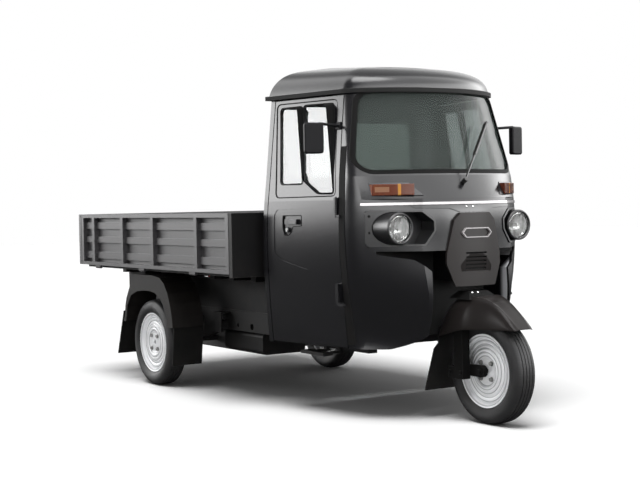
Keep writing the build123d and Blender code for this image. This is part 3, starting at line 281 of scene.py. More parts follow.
def new_surface(name):
    """A fresh material; returns it with its node tree and its shader."""
    material = bpy.data.materials.new(name)
    material.use_nodes = True
    return material, material.node_tree, material.node_tree.nodes["Principled BSDF"]


def dust_film(tree, colour, gloss, amount, top):
    """Road dust over a clean colour; its outputs are the colour and the roughness."""
    return wire(tree, "ShaderNodeGroup", {
        "Clean": (*colour, 1), "Gloss": gloss, "Amount": amount, "Top": top,
    }, node_tree=road_dust).outputs


def raise_surface(tree, height, strength, distance):
    """Tilts the shader's normal by a height field."""
    bump = wire(tree, "ShaderNodeBump", {"Height": height, "Strength": strength, "Distance": distance})
    tree.links.new(bump.outputs[0], tree.nodes["Principled BSDF"].inputs["Normal"])


def painted(name, colour, gloss, *, dust=0.2, dust_top=1.0, ripple_scale=RIPPLE_SCALE, ripple_depth=0.05,
            coat=0.0, specular=0.5, metallic=0.0, bare=None):
    """Paint or plastic with road dust and a fine surface; bare is the metal shown at rubbed edges."""
    material, tree, shader = new_surface(name)
    film = dust_film(tree, colour, gloss, dust, dust_top)
    surface = film["Color"]
    if bare:
        edges = wire(tree, "ShaderNodeGroup", node_tree=rubbed_edges)
        surface = blend(tree, edges.outputs["Mask"], surface, bare)
    tree.links.new(surface, shader.inputs["Base Color"])
    tree.links.new(film["Roughness"], shader.inputs["Roughness"])
    shader.inputs["Metallic"].default_value = metallic
    shader.inputs["Specular IOR Level"].default_value = specular
    shader.inputs["Coat Weight"].default_value = coat
    shader.inputs["Coat Roughness"].default_value = COAT_ROUGHNESS
    texture = wire(tree, "ShaderNodeGroup", {"Scale": ripple_scale}, node_tree=paint_ripple)
    raise_surface(tree, texture.outputs["Height"], ripple_depth, RIPPLE_HEIGHT)
    return material


def dress(material, *names):
    """Gives CAD nodes their material."""
    for name in names:
        mesh = nodes[name].data
        mesh.materials.clear()
        mesh.materials.append(material)


SATIN_BLACK = (0.006, 0.006, 0.0065)
chassis_paint = painted("chassis_paint", SATIN_BLACK, 0.5, dust=0.08, dust_top=0.8,
                        ripple_depth=0.15, specular=0.15, bare=(0.02, 0.019, 0.018))
dress(chassis_paint, "chassis_rails", "cross_members", "rear_suspension", "cab_floor")
drive_alloy = painted("drive_alloy", (0.035, 0.035, 0.037), 0.5, dust=0.3, dust_top=0.6,
                      ripple_scale=320.0, ripple_depth=0.3, specular=0.3)
dress(drive_alloy, "powertrain")
tank_paint = painted("tank_paint", SATIN_BLACK, 0.45, dust=0.08, dust_top=0.7, specular=0.15)
dress(tank_paint, "fuel_tank")
battery_shell = painted("battery_shell", (0.008, 0.008, 0.009), 0.55, dust=0.1, dust_top=0.7,
                        ripple_scale=600.0, ripple_depth=0.2, specular=0.15)
dress(battery_shell, "battery_box")

# ---------------------------------------------------------------- rear arches and flaps
# Moulded black arches over the rear wheels and hanging rubber flaps, front and rear.
arch_plastic = painted("arch_plastic", (0.009, 0.008, 0.0075), 0.5, dust=0.06, dust_top=0.8,
                       ripple_scale=700.0, ripple_depth=0.18, specular=0.12)
dress(arch_plastic, "rear_arches")
flap_rubber = painted("flap_rubber", (0.006, 0.006, 0.006), 0.65, dust=0.05, dust_top=0.6,
                      ripple_scale=420.0, ripple_depth=0.25, specular=0.12)
dress(flap_rubber, "rear_flaps", "front_flap")

# ---------------------------------------------------------------- wheels and tyres
# Pressed steel wheels in silver paint and ribbed tyres of black rubber.
WHEELS = (          # name, body, (x, y) of the wheel's middle
    ("front", "front_wheel", (1.424, 0.0)), ("rear_right", "rear_wheel_right", (-0.850, -0.597)),
    ("rear_left", "rear_wheel_left", (-0.850, 0.597)),
)
AXLE_Z = 0.249
WALL_RINGS, WALL_ENDS = 1300.0, (0.232, 0.238)
SIPE_COUNT, SIPE_EDGE, SIPE_DEPTH, TREAD_STARTS = 72.0, (0.86, 0.96), -2.0, (0.238, 0.241)
DISC_RINGS, HUB_EDGE = 340.0, (0.045, 0.06)
# The ring grooves get painted shade: a grey tint that deepens down in each groove.
GROOVE_SHADE_SPAN, GROOVE_SHADE, GROOVE_SHADE_TINT = (-1.0, -0.5), 0.7, (0.2, 0.2, 0.21)


def around_axle(tree, centre_x):
    """The point measured from a wheel's axle, and its distance from the axle."""
    from_axle = vector_step(tree, "SUBTRACT", own_place(tree), (centre_x, 0.0, AXLE_Z))
    return from_axle, vector_step(tree, "LENGTH", vector_step(tree, "MULTIPLY", from_axle, (1, 0, 1)))


def waves(tree, value, rate):
    """A sine wave along a value, with that many radians to a unit."""
    return number_step(tree, "SINE", number_step(tree, "MULTIPLY", value, rate))


def tyre_rubber(name, centre_x):
    """Rubber whose sidewall carries fine rings and whose tread is cut by short sipes."""
    material, tree, shader = new_surface(name)
    from_axle, radius = around_axle(tree, centre_x)
    on_wall = ramp(tree, radius, *WALL_ENDS, 1.0, 0.0)
    wall_rings = number_step(tree, "MULTIPLY", waves(tree, radius, WALL_RINGS), on_wall)
    parts = wire(tree, "ShaderNodeSeparateXYZ", {0: from_axle}).outputs
    angle = number_step(tree, "ARCTAN2", parts["Z"], parts["X"])
    sipe = ramp(tree, waves(tree, angle, SIPE_COUNT), *SIPE_EDGE, 0.0, SIPE_DEPTH)
    tread_sipes = number_step(tree, "MULTIPLY", sipe, ramp(tree, radius, *TREAD_STARTS))
    relief = number_step(tree, "ADD", wall_rings, tread_sipes)
    raise_surface(tree, relief, strength=0.35, distance=0.001)
    film = dust_film(tree, (0.021, 0.021, 0.022), gloss=0.5, amount=0.06, top=0.5)
    shader.inputs["Specular IOR Level"].default_value = 0.22
    tree.links.new(film["Color"], shader.inputs["Base Color"])
    tree.links.new(film["Roughness"], shader.inputs["Roughness"])
    return material


def wheel_silver(name, centre_x):
    """Silver paint over the rings pressed into the wheel disc, with painted shade down in their grooves."""
    material = painted(name, (0.93, 0.94, 0.955), 0.35, dust=0.03, dust_top=0.5, coat=0.2)
    tree = material.node_tree
    base = tree.nodes["Principled BSDF"].inputs["Base Color"]
    radius = around_axle(tree, centre_x)[1]
    rings = number_step(tree, "MULTIPLY", waves(tree, radius, DISC_RINGS), ramp(tree, radius, *HUB_EDGE))
    raise_surface(tree, rings, strength=0.9, distance=0.0022)
    groove_shade = ramp(tree, rings, *GROOVE_SHADE_SPAN, GROOVE_SHADE, 0.0)
    tree.links.new(blend(tree, groove_shade, base.links[0].from_socket, GROOVE_SHADE_TINT), base)
    return material


def finish_mesh(name, mesh_edit, material, body, smooth_below=40.0):
    """Turns an edited mesh into a piece that rides on a body."""
    mesh = bpy.data.meshes.new(name)
    bmesh.ops.recalc_face_normals(mesh_edit, faces=mesh_edit.faces)
    mesh_edit.to_mesh(mesh)
    mesh_edit.free()
    mesh.materials.append(material)
    mesh.shade_smooth()
    mesh.set_sharp_from_angle(angle=radians(smooth_below))
    piece = bpy.data.objects.new(name, mesh)
    bpy.context.scene.collection.objects.link(piece)
    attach(piece, body)
    return piece


# A washer under a nut: sides, radius in nut corners, and from and to in shares of the thickness.
NUT_LAYERS = ((20, 1.25, 0.0, 0.18), (6, 1.0, 0.18, 1.0))
NUT_EASED = 0.09


def add_nut(mesh_edit, across_flats, thick, place):
    """A hexagonal nut with chamfered corners on a round washer, along the place's z."""
    for sides, corners_out, low, high in NUT_LAYERS:
        radius = across_flats / 2 / cos(pi / 6) * corners_out
        ring = bmesh.ops.create_cone(
            mesh_edit, cap_ends=True, segments=sides, radius1=radius, radius2=radius,
            depth=(high - low) * thick,
            matrix=place @ Matrix.Translation((0, 0, (low + high) / 2 * thick)),
        )
        rims = {e for v in ring["verts"] for e in v.link_edges}
        bmesh.ops.bevel(mesh_edit, geom=list(rims), offset=thick * NUT_EASED, segments=2, affect="EDGES")


nut_zinc = painted("nut_zinc", (0.35, 0.35, 0.34), 0.35, dust=0.3, dust_top=0.6, metallic=1.0)
NUT_COUNT, NUT_CIRCLE_R, NUT_FLATS, NUT_THICK = 4, 0.052, 0.017, 0.012
DISC_FACE = 0.0345      # from the wheel's middle out to the face that the nuts hold
for wheel, body, (axle_x, axle_y) in WHEELS:
    dress(tyre_rubber(f"{wheel}_tyre_rubber", axle_x), f"{wheel}_tyre")
    dress(wheel_silver(f"{wheel}_wheel_silver", axle_x), f"{wheel}_rim")
    outward = 1.0 if axle_y > 0 else -1.0
    face_out = Matrix.Rotation(-outward * pi / 2, 4, "X")
    nuts = bmesh.new()
    for step in range(NUT_COUNT):
        turn = 2 * pi * step / NUT_COUNT + pi / 4
        at = Vector((
            axle_x + NUT_CIRCLE_R * cos(turn), axle_y + outward * DISC_FACE,
            AXLE_Z + NUT_CIRCLE_R * sin(turn),
        ))
        add_nut(nuts, NUT_FLATS, NUT_THICK, Matrix.Translation(at) @ face_out)
    finish_mesh(f"{wheel}_wheel_nuts", nuts, nut_zinc, body)

# ---------------------------------------------------------------- steered front end
# A single-sided fork with its link arm in satin black, and the plastic hood over the wheel.
fork_paint = painted("fork_paint", (0.004, 0.004, 0.004), 0.6, dust=0.02, dust_top=0.7,
                     ripple_depth=0.1, specular=0.06, bare=(0.02, 0.02, 0.02))
dress(fork_paint, "front_fork", "front_arm")
hood_plastic = painted("hood_plastic", (0.018, 0.0155, 0.015), 0.3, dust=0.02, dust_top=0.7,
                       ripple_scale=90.0, ripple_depth=0.04, specular=0.1)

# The hood: stations along the wheel from the rear edge to the beak, each a rounded arch that is
# (x, half width, edge height, crown height) with a ridge along each shoulder.
HOOD_STATIONS = (
    (1.151, 0.098, 0.396, 0.426), (1.172, 0.106, 0.399, 0.478), (1.200, 0.114, 0.403, 0.523),
    (1.240, 0.121, 0.412, 0.560), (1.290, 0.126, 0.426, 0.583), (1.345, 0.127, 0.438, 0.592),
    (1.390, 0.122, 0.441, 0.594), (1.430, 0.106, 0.442, 0.590), (1.475, 0.088, 0.443, 0.577),
    (1.520, 0.078, 0.445, 0.557), (1.565, 0.073, 0.447, 0.527), (1.605, 0.068, 0.449, 0.497),
    (1.640, 0.059, 0.449, 0.465), (1.652, 0.048, 0.449, 0.454),
)
HOOD_THICK = 0.0035
# Half an arch from its edge to near the crown, in shares of (half width, rise).
HOOD_ARCH = (
    (1.0, 0.0), (0.995, 0.2), (0.975, 0.4), (0.92, 0.62), (0.84, 0.80), (0.74, 0.92),
    (0.66, 0.975), (0.60, 1.03), (0.55, 1.0), (0.40, 0.99), (0.20, 0.998),
)


def hood_section(x, half, edge_z, crown_z):
    """Points over one arch from the right edge to the left, with a low ridge by each shoulder."""
    rise = crown_z - edge_z
    right = [Vector((x, -half * out, edge_z + rise * up)) for out, up in HOOD_ARCH]
    left = [Vector((p.x, -p.y, p.z)) for p in reversed(right)]
    return right + [Vector((x, 0.0, crown_z))] + left


hood_edit = bmesh.new()
hood_rows = [[hood_edit.verts.new(p) for p in hood_section(*station)] for station in HOOD_STATIONS]
for back_row, front_row in zip(hood_rows, hood_rows[1:]):
    for a in range(len(back_row) - 1):
        hood_edit.faces.new((back_row[a], back_row[a + 1], front_row[a + 1], front_row[a]))
mudguard_hood = finish_mesh("mudguard_hood", hood_edit, hood_plastic, "steering", 180.0)
hood_sheet = mudguard_hood.modifiers.new("sheet", "SOLIDIFY")
hood_sheet.thickness, hood_sheet.offset = HOOD_THICK, -1.0
hood_round = mudguard_hood.modifiers.new("round", "SUBSURF")
hood_round.levels = hood_round.render_levels = 2
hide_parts("front_mudguard")

# ---------------------------------------------------------------- cab body
# Pressed steel panels in deep charcoal gloss over a black floor pan and wheel recess.
CHARCOAL = (0.007, 0.007, 0.0085)
MATT = 0.9
CAB_FINISH = dict(dust=0.02, dust_top=0.9, ripple_scale=140.0, ripple_depth=0.03)
body_gloss = painted("body_gloss", CHARCOAL, 0.24, specular=0.42, **CAB_FINISH)
dress(body_gloss, "front_cowl", "screen_frame", "rear_wall", "door_left", "door_right")


def blackened(material, black, masks):
    """Turns a paint matt black where one of the masks is 1."""
    tree = material.node_tree
    inputs = tree.nodes["Principled BSDF"].inputs
    mask = masks[0]
    for more in masks[1:]:
        mask = number_step(tree, "MAXIMUM", mask, more)
    colour = blend(tree, mask, inputs["Base Color"].links[0].from_socket, black)
    roughness = wire(tree, "ShaderNodeMix", {
        0: mask, 2: inputs["Roughness"].links[0].from_socket, 3: MATT,
    }, data_type="FLOAT").outputs[0]
    tree.links.new(colour, inputs["Base Color"])
    tree.links.new(roughness, inputs["Roughness"])


def between(tree, value, low, high, soft=0.0004):
    """1 where a value lies between two limits."""
    above = ramp(tree, value, low - soft, low + soft)
    below = ramp(tree, value, high - soft, high + soft, 1.0, 0.0)
    return number_step(tree, "MULTIPLY", above, below)


# The roof is pressed in one piece; the band of its drip rail is painted matt black, as the shade under the
# rail.
DRIP_SHADE_Z = (1.5, 1.586)
roof_gloss = painted("roof_gloss", CHARCOAL, 0.24, specular=0.42, **CAB_FINISH)
roof_tree = roof_gloss.node_tree
drip_rail_shade = between(roof_tree, own_axis(roof_tree, "Z"), *DRIP_SHADE_Z)
blackened(roof_gloss, (0.004, 0.004, 0.004), [drip_rail_shade])
dress(roof_gloss, "roof")

# The nose panel's cooling slots are painted black, as the shade down inside them.
SLOTS_Z, SLOT_HALF_HIGH, SLOT_HALF_WIDE = (0.722, 0.739, 0.757, 0.775, 0.795), 0.0042, 0.0625
nose_gloss = painted("nose_gloss", (0.012, 0.0095, 0.009), 0.34, specular=0.3, **CAB_FINISH)
nose_tree = nose_gloss.node_tree
slot_span = between(nose_tree, own_axis(nose_tree, "Y"), -SLOT_HALF_WIDE, SLOT_HALF_WIDE)
slot_height = own_axis(nose_tree, "Z")
slot_shade_masks = []
for slot_z in SLOTS_Z:
    slot_shade_band = between(nose_tree, slot_height, slot_z - SLOT_HALF_HIGH, slot_z + SLOT_HALF_HIGH)
    slot_shade_masks.append(number_step(nose_tree, "MULTIPLY", slot_shade_band, slot_span))
blackened(nose_gloss, (0.001, 0.001, 0.001), slot_shade_masks)
dress(nose_gloss, "nose_panel")

# The wheel recess is gloss on the flanks of the cheeks and matt underseal on its back wall. A painted
# reflection, pale and bluish, lightens the left cheek's flank toward the nose.
REFLECTION_FRONT_X, PAINTED_REFLECTION_TINT = (1.215, 1.25), (0.93, 0.94, 0.98)
recess_liner = painted("recess_liner", (0.006, 0.006, 0.007), 0.25, dust=0.03, dust_top=0.9,
                       ripple_scale=500.0, ripple_depth=0.1, specular=0.42)
recess_tree = recess_liner.node_tree
recess_normal = wire(recess_tree, "ShaderNodeNewGeometry").outputs["Normal"]
facing_left = wire(recess_tree, "ShaderNodeSeparateXYZ", {0: recess_normal}).outputs["Y"]
back_wall = between(recess_tree, number_step(recess_tree, "ABSOLUTE", facing_left), -1.0, 0.5)
blackened(recess_liner, (0.003, 0.003, 0.003), [back_wall])
facing_right = number_step(recess_tree, "MULTIPLY", facing_left, -1.0)
painted_reflection = ramp(recess_tree, own_axis(recess_tree, "X"), *REFLECTION_FRONT_X, 0.0, 1.0, "SMOOTHSTEP")
for limits in (     # value, low, high, how soft
    (own_axis(recess_tree, "Z"), 0.52, 0.79, 0.02),
    (own_axis(recess_tree, "Y"), 0.2, 0.6),
    (facing_right, 0.5, 1.2, 0.05),
):
    painted_reflection = number_step(recess_tree, "MULTIPLY", painted_reflection, between(recess_tree, *limits))
recess_base = recess_tree.nodes["Principled BSDF"].inputs["Base Color"]
recess_tree.links.new(blend(recess_tree, painted_reflection, recess_base.links[0].from_socket, PAINTED_REFLECTION_TINT), recess_base)
dress(recess_liner, "wheel_recess")

# ---------------------------------------------------------------- glass and seals
# Lightly green laminated and toughened panes bedded in black rubber.
SMEARS, SMEAR_SPAN, SMEAR_ROUGHNESS = (5.0, 6.0), (0.45, 0.8), 0.06


def pane(name, light_tint, deep_tint, *, clear, index):
    """Glass with faint smears; what isn't clear is the haze of a tinted, dusty pane."""
    material, tree, shader = new_surface(name)
    shader.inputs["Transmission Weight"].default_value = clear
    shader.inputs["IOR"].default_value = index
    smears = mottle(tree, *SMEARS)
    tree.links.new(ramp(tree, smears, *SMEAR_SPAN, 0.0, SMEAR_ROUGHNESS), shader.inputs["Roughness"])
    tree.links.new(blend(tree, smears, deep_tint, light_tint), shader.inputs["Base Color"])
    return material


screen_glass = pane("screen_glass", (0.30, 0.345, 0.325), (0.25, 0.29, 0.275), clear=0.84, index=1.12)
dress(screen_glass, "cab_glass")
side_glass = pane("side_glass", (0.66, 0.67, 0.68), (0.6, 0.62, 0.63), clear=0.97, index=1.5)
dress(side_glass, "door_left_glass", "door_right_glass")
seal_rubber = painted("seal_rubber", (0.004, 0.004, 0.004), 0.75, dust=0.03, dust_top=1.2,
                      ripple_scale=300.0, ripple_depth=0.12, specular=0.12)
dress(seal_rubber, "cab_seals")


def skin_tree(*names):
    """A ray-casting tree over the meshes of CAD nodes."""
    points, faces = [], []
    for name in names:
        mesh = nodes[name].data
        start = len(points)
        points += [v.co.copy() for v in mesh.vertices]
        faces += [[start + i for i in f.vertices] for f in mesh.polygons]
    return BVHTree.FromPolygons(points, faces)


def eased_line(corners, radius, step=0.02):
    """Evenly stepped points round a loop of straight runs of (x, z) whose corners are rounded."""
    count = len(corners)
    points = []
    for i, corner in enumerate(corners):
        here, before, after = Vector(corner), Vector(corners[i - 1]), Vector(corners[(i + 1) % count])
        start = here + (before - here).normalized() * min(radius, (before - here).length * 0.45)
        end = here + (after - here).normalized() * min(radius, (after - here).length * 0.45)
        for share in (0.0, 0.2, 0.4, 0.6, 0.8, 1.0):
            points.append(start.lerp(here, share).lerp(here.lerp(end, share), share))
    stepped = []
    for i, a in enumerate(points):
        b = points[(i + 1) % len(points)]
        pieces = max(1, int((b - a).length / step))
        stepped += [a.lerp(b, k / pieces) for k in range(pieces)]
    return stepped


BESIDE_CAB = 1.5        # well outside either door
FIRST_MISS = 0.55       # depth given to points of a band's first row that miss the skin
# Across a band: the share of its half width, the share of its rise, and how far it is sunk.
BAND_SECTION = (
    (-1.0, 0.0, 0.0006), (-0.8, 0.7, 0.0), (-0.3, 1.0, 0.0),
    (0.3, 1.0, 0.0), (0.8, 0.7, 0.0), (1.0, 0.0, 0.0006),
)


def to_side(skin, side, x, z):
    """The point of the skin straight in from the side, or None past its edge."""
    return skin.ray_cast(Vector((x, side * BESIDE_CAB, z)), Vector((0, -side, 0)))[0]


def laid_band(mesh_edit, skin, side, line, width, rise):
    """Lays a closed rounded ribbon along (x, z) points on the skin of one side of the cab.

    A point that misses the skin takes the depth of the first point of the row before, which may
    have missed too. So a band whose inner edge lies over an opening leaves the skin there.
    """
    rows = []
    for i, here in enumerate(line):
        along = (line[(i + 1) % len(line)] - line[i - 1]).normalized()
        outward = Vector((along.y, -along.x))
        row = []
        for share, height, sunk in BAND_SECTION:
            at = here + outward * (share * width / 2)
            hit = to_side(skin, side, at.x, at.y)
            y = hit.y if hit else (rows[-1][0].co.y if rows else side * FIRST_MISS)
            row.append(mesh_edit.verts.new((at.x, y + side * (rise * height - sunk), at.y)))
        rows.append(row)
    for a, b in zip(rows, rows[1:] + rows[:1]):
        for k in range(len(BAND_SECTION) - 1):
            mesh_edit.faces.new((a[k], a[k + 1], b[k + 1], b[k]))


# Rubber round each door pane and round the pressed recess that both panes sit in.
REAR_PANE_EDGE = ((0.4885, 1.139), (0.6605, 1.137), (0.6055, 1.5215), (0.4430, 1.5205))
FRONT_PANE_EDGE = (
    (0.6650, 1.1535), (0.7780, 1.0885), (0.8965, 1.0865), (0.8270, 1.5225), (0.6105, 1.5255),
)
PANE_RECESS = ((0.4600, 1.072), (0.9160, 1.075), (0.8500, 1.541), (0.4160, 1.542))
PANE_ROUND, RECESS_ROUND = 0.02, 0.03
RUBBER_SIZE, BEAD_SIZE = (0.009, 0.003), (0.006, 0.0016)    # width and rise
SIDES = (("left", 1), ("right", -1))
for word, side in SIDES:
    door_skin = skin_tree(f"door_{word}")
    rubber_edit = bmesh.new()
    for edge in (REAR_PANE_EDGE, FRONT_PANE_EDGE):
        laid_band(rubber_edit, door_skin, side, eased_line(edge, PANE_ROUND), *RUBBER_SIZE)
    finish_mesh(f"pane_rubber_{word}", rubber_edit, seal_rubber, f"door_{word}", 60.0)
    recess_edit = bmesh.new()
    laid_band(recess_edit, door_skin, side, eased_line(PANE_RECESS, RECESS_ROUND), *BEAD_SIZE)
    finish_mesh(f"recess_bead_{word}", recess_edit, seal_rubber, f"door_{word}", 60.0)

# Door handles: a grey pull plate over the pocket, a lock barrel under it and the pocket's lip.
POCKET_EDGE = (
    (0.5245, 0.9835), (0.6675, 0.9835), (0.6715, 0.9335), (0.6035, 0.9285), (0.5955, 0.9005),
    (0.5715, 0.8865), (0.5405, 0.8865), (0.5245, 0.9245),
)
POCKET_ROUND, LIP_STEP, LIP_SIZE = 0.006, 0.01, (0.005, 0.0014)
LOCK_R, PLATE_SUNK, PLATE_EDGE = 0.0095, 0.001, 0.0008
pull_grey = painted("pull_grey", (0.15, 0.15, 0.155), 0.35, dust=0.03, dust_top=1.2)
lock_steel = painted("lock_steel", (0.6, 0.6, 0.6), 0.25, dust=0.03, dust_top=1.2, metallic=0.8)
DOOR_PLATES = (     # name, (x, z), half width and height, thickness, corner radius, finish
    ("pull", (0.591, 0.953), (0.048, 0.0115), 0.003, 0.003, pull_grey),
    ("lock", (0.562, 0.913), (LOCK_R, LOCK_R), 0.004, LOCK_R * 0.98, lock_steel),
)


def rounded_plate(mesh_edit, half_w, half_h, thick, corner, bevel, place, steps=6):
    """A plate with round corners and eased edges, its face towards the place's z."""
    outline = []
    for cx, cy, start in ((1, 1, 0), (-1, 1, 1), (-1, -1, 2), (1, -1, 3)):
        for step in range(steps + 1):
            turn = pi / 2 * (start + step / steps)
            outline.append((
                cx * (half_w - corner) + corner * cos(turn), cy * (half_h - corner) + corner * sin(turn),
            ))
    back = [mesh_edit.verts.new(place @ Vector((x, y, 0))) for x, y in outline]
    face = mesh_edit.faces.new(back)
    raised = bmesh.ops.extrude_face_region(mesh_edit, geom=[face])
    front = [v for v in raised["geom"] if isinstance(v, bmesh.types.BMVert)]
    push = (place.to_3x3() @ Vector((0, 0, 1))) * thick
    bmesh.ops.translate(mesh_edit, vec=push, verts=front)
    edges = [e for e in mesh_edit.edges if e.verts[0] in front and e.verts[1] in front]
    bmesh.ops.bevel(mesh_edit, geom=edges, offset=bevel, segments=3, affect="EDGES")


for word, side in SIDES:
    door_skin = skin_tree(f"door_{word}")
    facing_out = Matrix.Rotation(-side * pi / 2, 4, "X")
    for part, (at_x, at_z), half, thick, corner, sheet in DOOR_PLATES:
        skin_y = to_side(door_skin, side, at_x, at_z).y
        plate_edit = bmesh.new()
        place = Matrix.Translation((at_x, skin_y - side * PLATE_SUNK, at_z)) @ facing_out
        rounded_plate(plate_edit, *half, thick, corner, PLATE_EDGE, place)
        finish_mesh(f"door_{part}_{word}", plate_edit, sheet, f"door_{word}")
    lip_edit = bmesh.new()
    laid_band(lip_edit, door_skin, side, eased_line(POCKET_EDGE, POCKET_ROUND, LIP_STEP), *LIP_SIZE)
    finish_mesh(f"pocket_lip_{word}", lip_edit, seal_rubber, f"door_{word}", 60.0)

# ---------------------------------------------------------------- lamps
# Black housings, chromed bowls behind fluted clear lenses, amber signals and red tail lamps.
housing_plastic = painted("housing_plastic", (0.008, 0.008, 0.009), 0.35, dust=0.02, dust_top=1.0,
                          ripple_scale=650.0, ripple_depth=0.12)
dress(housing_plastic, "lamp_housings", "headlight_buckets")


LENS_RIBS, LENS_CLOUDS, RIB_HEIGHT, DEEP_SHARE = 700.0, (25.0, 3.0), 0.002, 0.8


def lens(name, colour, *, rib_depth, clear):
    """A moulded lens whose inside is ribbed; clear is how much passes straight through."""
    material, tree, shader = new_surface(name)
    shader.inputs["Transmission Weight"].default_value = clear
    shader.inputs["IOR"].default_value = 1.49
    shader.inputs["Roughness"].default_value = 0.05
    deep = [c * DEEP_SHARE for c in colour]
    tree.links.new(blend(tree, mottle(tree, *LENS_CLOUDS), colour, deep), shader.inputs["Base Color"])
    raise_surface(tree, waves(tree, own_axis(tree, "Y"), LENS_RIBS), rib_depth, RIB_HEIGHT)
    return material


dress(lens("headlight_glass", (0.95, 0.96, 0.96), rib_depth=0.35, clear=1.0), "headlight_lenses")
dress(lens("red_lens", (0.42, 0.01, 0.01), rib_depth=0.4, clear=0.25), "tail_lamps")

bowl_chrome, bowl_tree, bowl_shader = new_surface("bowl_chrome")
bowl_shader.inputs["Metallic"].default_value = 1.0
bowl_haze = mottle(bowl_tree, 30.0, 4.0)
bowl_tree.links.new(ramp(bowl_tree, bowl_haze, 0.3, 0.8, 0.05, 0.22), bowl_shader.inputs["Roughness"])
bowl_tint = blend(bowl_tree, bowl_haze, (0.62, 0.61, 0.6), (0.46, 0.46, 0.46))
bowl_tree.links.new(bowl_tint, bowl_shader.inputs["Base Color"])


def turned_faces(mesh_edit, profile, place, steps, notch=0.0):
    """Adds a surface turned about the place's x from (along, radius) points, each fourth step
    drawn in by a share of the radius."""
    rings = []
    for along, radius in profile:
        ring = []
        for step in range(steps):
            turn = 2 * pi * step / steps
            reach = radius * (1.0 - notch * (step % 4 == 0))
            ring.append(mesh_edit.verts.new(place @ Vector((along, reach * cos(turn), reach * sin(turn)))))
        rings.append(ring)
    for first, second in zip(rings, rings[1:]):
        for step in range(steps):
            after = (step + 1) % steps
            mesh_edit.faces.new((first[step], first[after], second[after], second[step]))


LAMP_X, LAMP_Y, LAMP_Z = 1.2215, 0.363, 0.917
# Profiles from the lens backwards, as (along, radius).
BOWL = ((-0.037, 0.010), (-0.0355, 0.020), (-0.031, 0.034), (-0.024, 0.046), (-0.016, 0.0555),
        (-0.0165, 0.0575), (-0.039, 0.0575), (-0.0395, 0.010))
BULB = ((-0.038, 0.0095), (-0.026, 0.0095), (-0.0225, 0.008), (-0.021, 0.0045), (-0.0208, 0.0008))
for word, side in SIDES:
    bowl_edit = bmesh.new()
    lamp_place = Matrix.Translation((LAMP_X, side * LAMP_Y, LAMP_Z))
    turned_faces(bowl_edit, BOWL, lamp_place, 48, notch=0.03)
    turned_faces(bowl_edit, BULB, lamp_place, 24)
    finish_mesh(f"headlight_bowl_{word}", bowl_edit, bowl_chrome, "root", 25.0)

# Turn signals: amber mouldings with a paler repeater panel, a bright rib and fine flutes.
REPEATER_Y, REPEATER_Z, RIB_Y, FLUTES = (0.376, 0.427), (1.0875, 1.1115), (0.331, 0.343), 1500.0
amber, amber_tree, amber_shader = new_surface("amber_moulding")
amber_shader.inputs["Transmission Weight"].default_value = 0.15
amber_shader.inputs["Roughness"].default_value = 0.12
from_middle = number_step(amber_tree, "ABSOLUTE", own_axis(amber_tree, "Y"))
flute_wave = waves(amber_tree, from_middle, FLUTES)
raise_surface(amber_tree, flute_wave, strength=0.5, distance=0.001)
in_repeater = number_step(
    amber_tree, "MULTIPLY", between(amber_tree, from_middle, *REPEATER_Y),
    between(amber_tree, own_axis(amber_tree, "Z"), *REPEATER_Z),
)
deep_amber = blend(amber_tree, flute_wave, (0.14, 0.022, 0.003), (0.32, 0.065, 0.007))
with_rib = blend(amber_tree, between(amber_tree, from_middle, *RIB_Y), deep_amber, (0.85, 0.36, 0.02))
amber_tint = blend(amber_tree, in_repeater, with_rib, (0.42, 0.2, 0.1))
amber_tree.links.new(amber_tint, amber_shader.inputs["Base Color"])

AHEAD_OF_NOSE = 2.5
SIGNAL_Z, SIGNAL_Y, SIGNAL_PROUD, SIGNAL_SUNK = (1.0725, 1.125), (0.436, 0.276), 0.012, 0.001
SIGNAL_STEPS, SIGNAL_ROWS, SIGNAL_EDGE = 16, 5, 0.002
front_skin = skin_tree("screen_frame", "front_cowl")


def skin_x(y, z):
    """How far forward the cab's front stands at a place."""
    return front_skin.ray_cast(Vector((AHEAD_OF_NOSE, y, z)), Vector((-1, 0, 0)))[0].x


for word, side in SIDES:
    signal_edit = bmesh.new()
    steps = [SIGNAL_Y[0] + (SIGNAL_Y[1] - SIGNAL_Y[0]) * k / SIGNAL_STEPS for k in range(SIGNAL_STEPS + 1)]
    foot_line = [(side * y, skin_x(side * y, SIGNAL_Z[0])) for y in steps]
    front, back = [], []
    for row in range(SIGNAL_ROWS + 1):
        z = SIGNAL_Z[0] + (SIGNAL_Z[1] - SIGNAL_Z[0]) * row / SIGNAL_ROWS
        front_row, back_row = [], []
        for y, foot_x in foot_line:
            front_row.append(signal_edit.verts.new((foot_x + SIGNAL_PROUD, y, z)))
            back_row.append(signal_edit.verts.new((min(skin_x(y, z), foot_x) - SIGNAL_SUNK, y, z)))
        front.append(front_row)
        back.append(back_row)
    for u in range(SIGNAL_ROWS):
        for k in range(SIGNAL_STEPS):
            for grid in (front, back):
                signal_edit.faces.new((grid[u][k], grid[u][k + 1], grid[u + 1][k + 1], grid[u + 1][k]))
        for k in (0, SIGNAL_STEPS):
            signal_edit.faces.new((front[u][k], front[u + 1][k], back[u + 1][k], back[u][k]))
    for u in (0, SIGNAL_ROWS):
        for k in range(SIGNAL_STEPS):
            signal_edit.faces.new((front[u][k], front[u][k + 1], back[u][k + 1], back[u][k]))
    signal = finish_mesh(f"signal_lens_{word}", signal_edit, amber, "root", 30.0)
    eased = signal.modifiers.new("eased_edges", "BEVEL")
    eased.width, eased.segments, eased.limit_method = SIGNAL_EDGE, 2, "ANGLE"
    if word == "left":
        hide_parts("turn_signals")

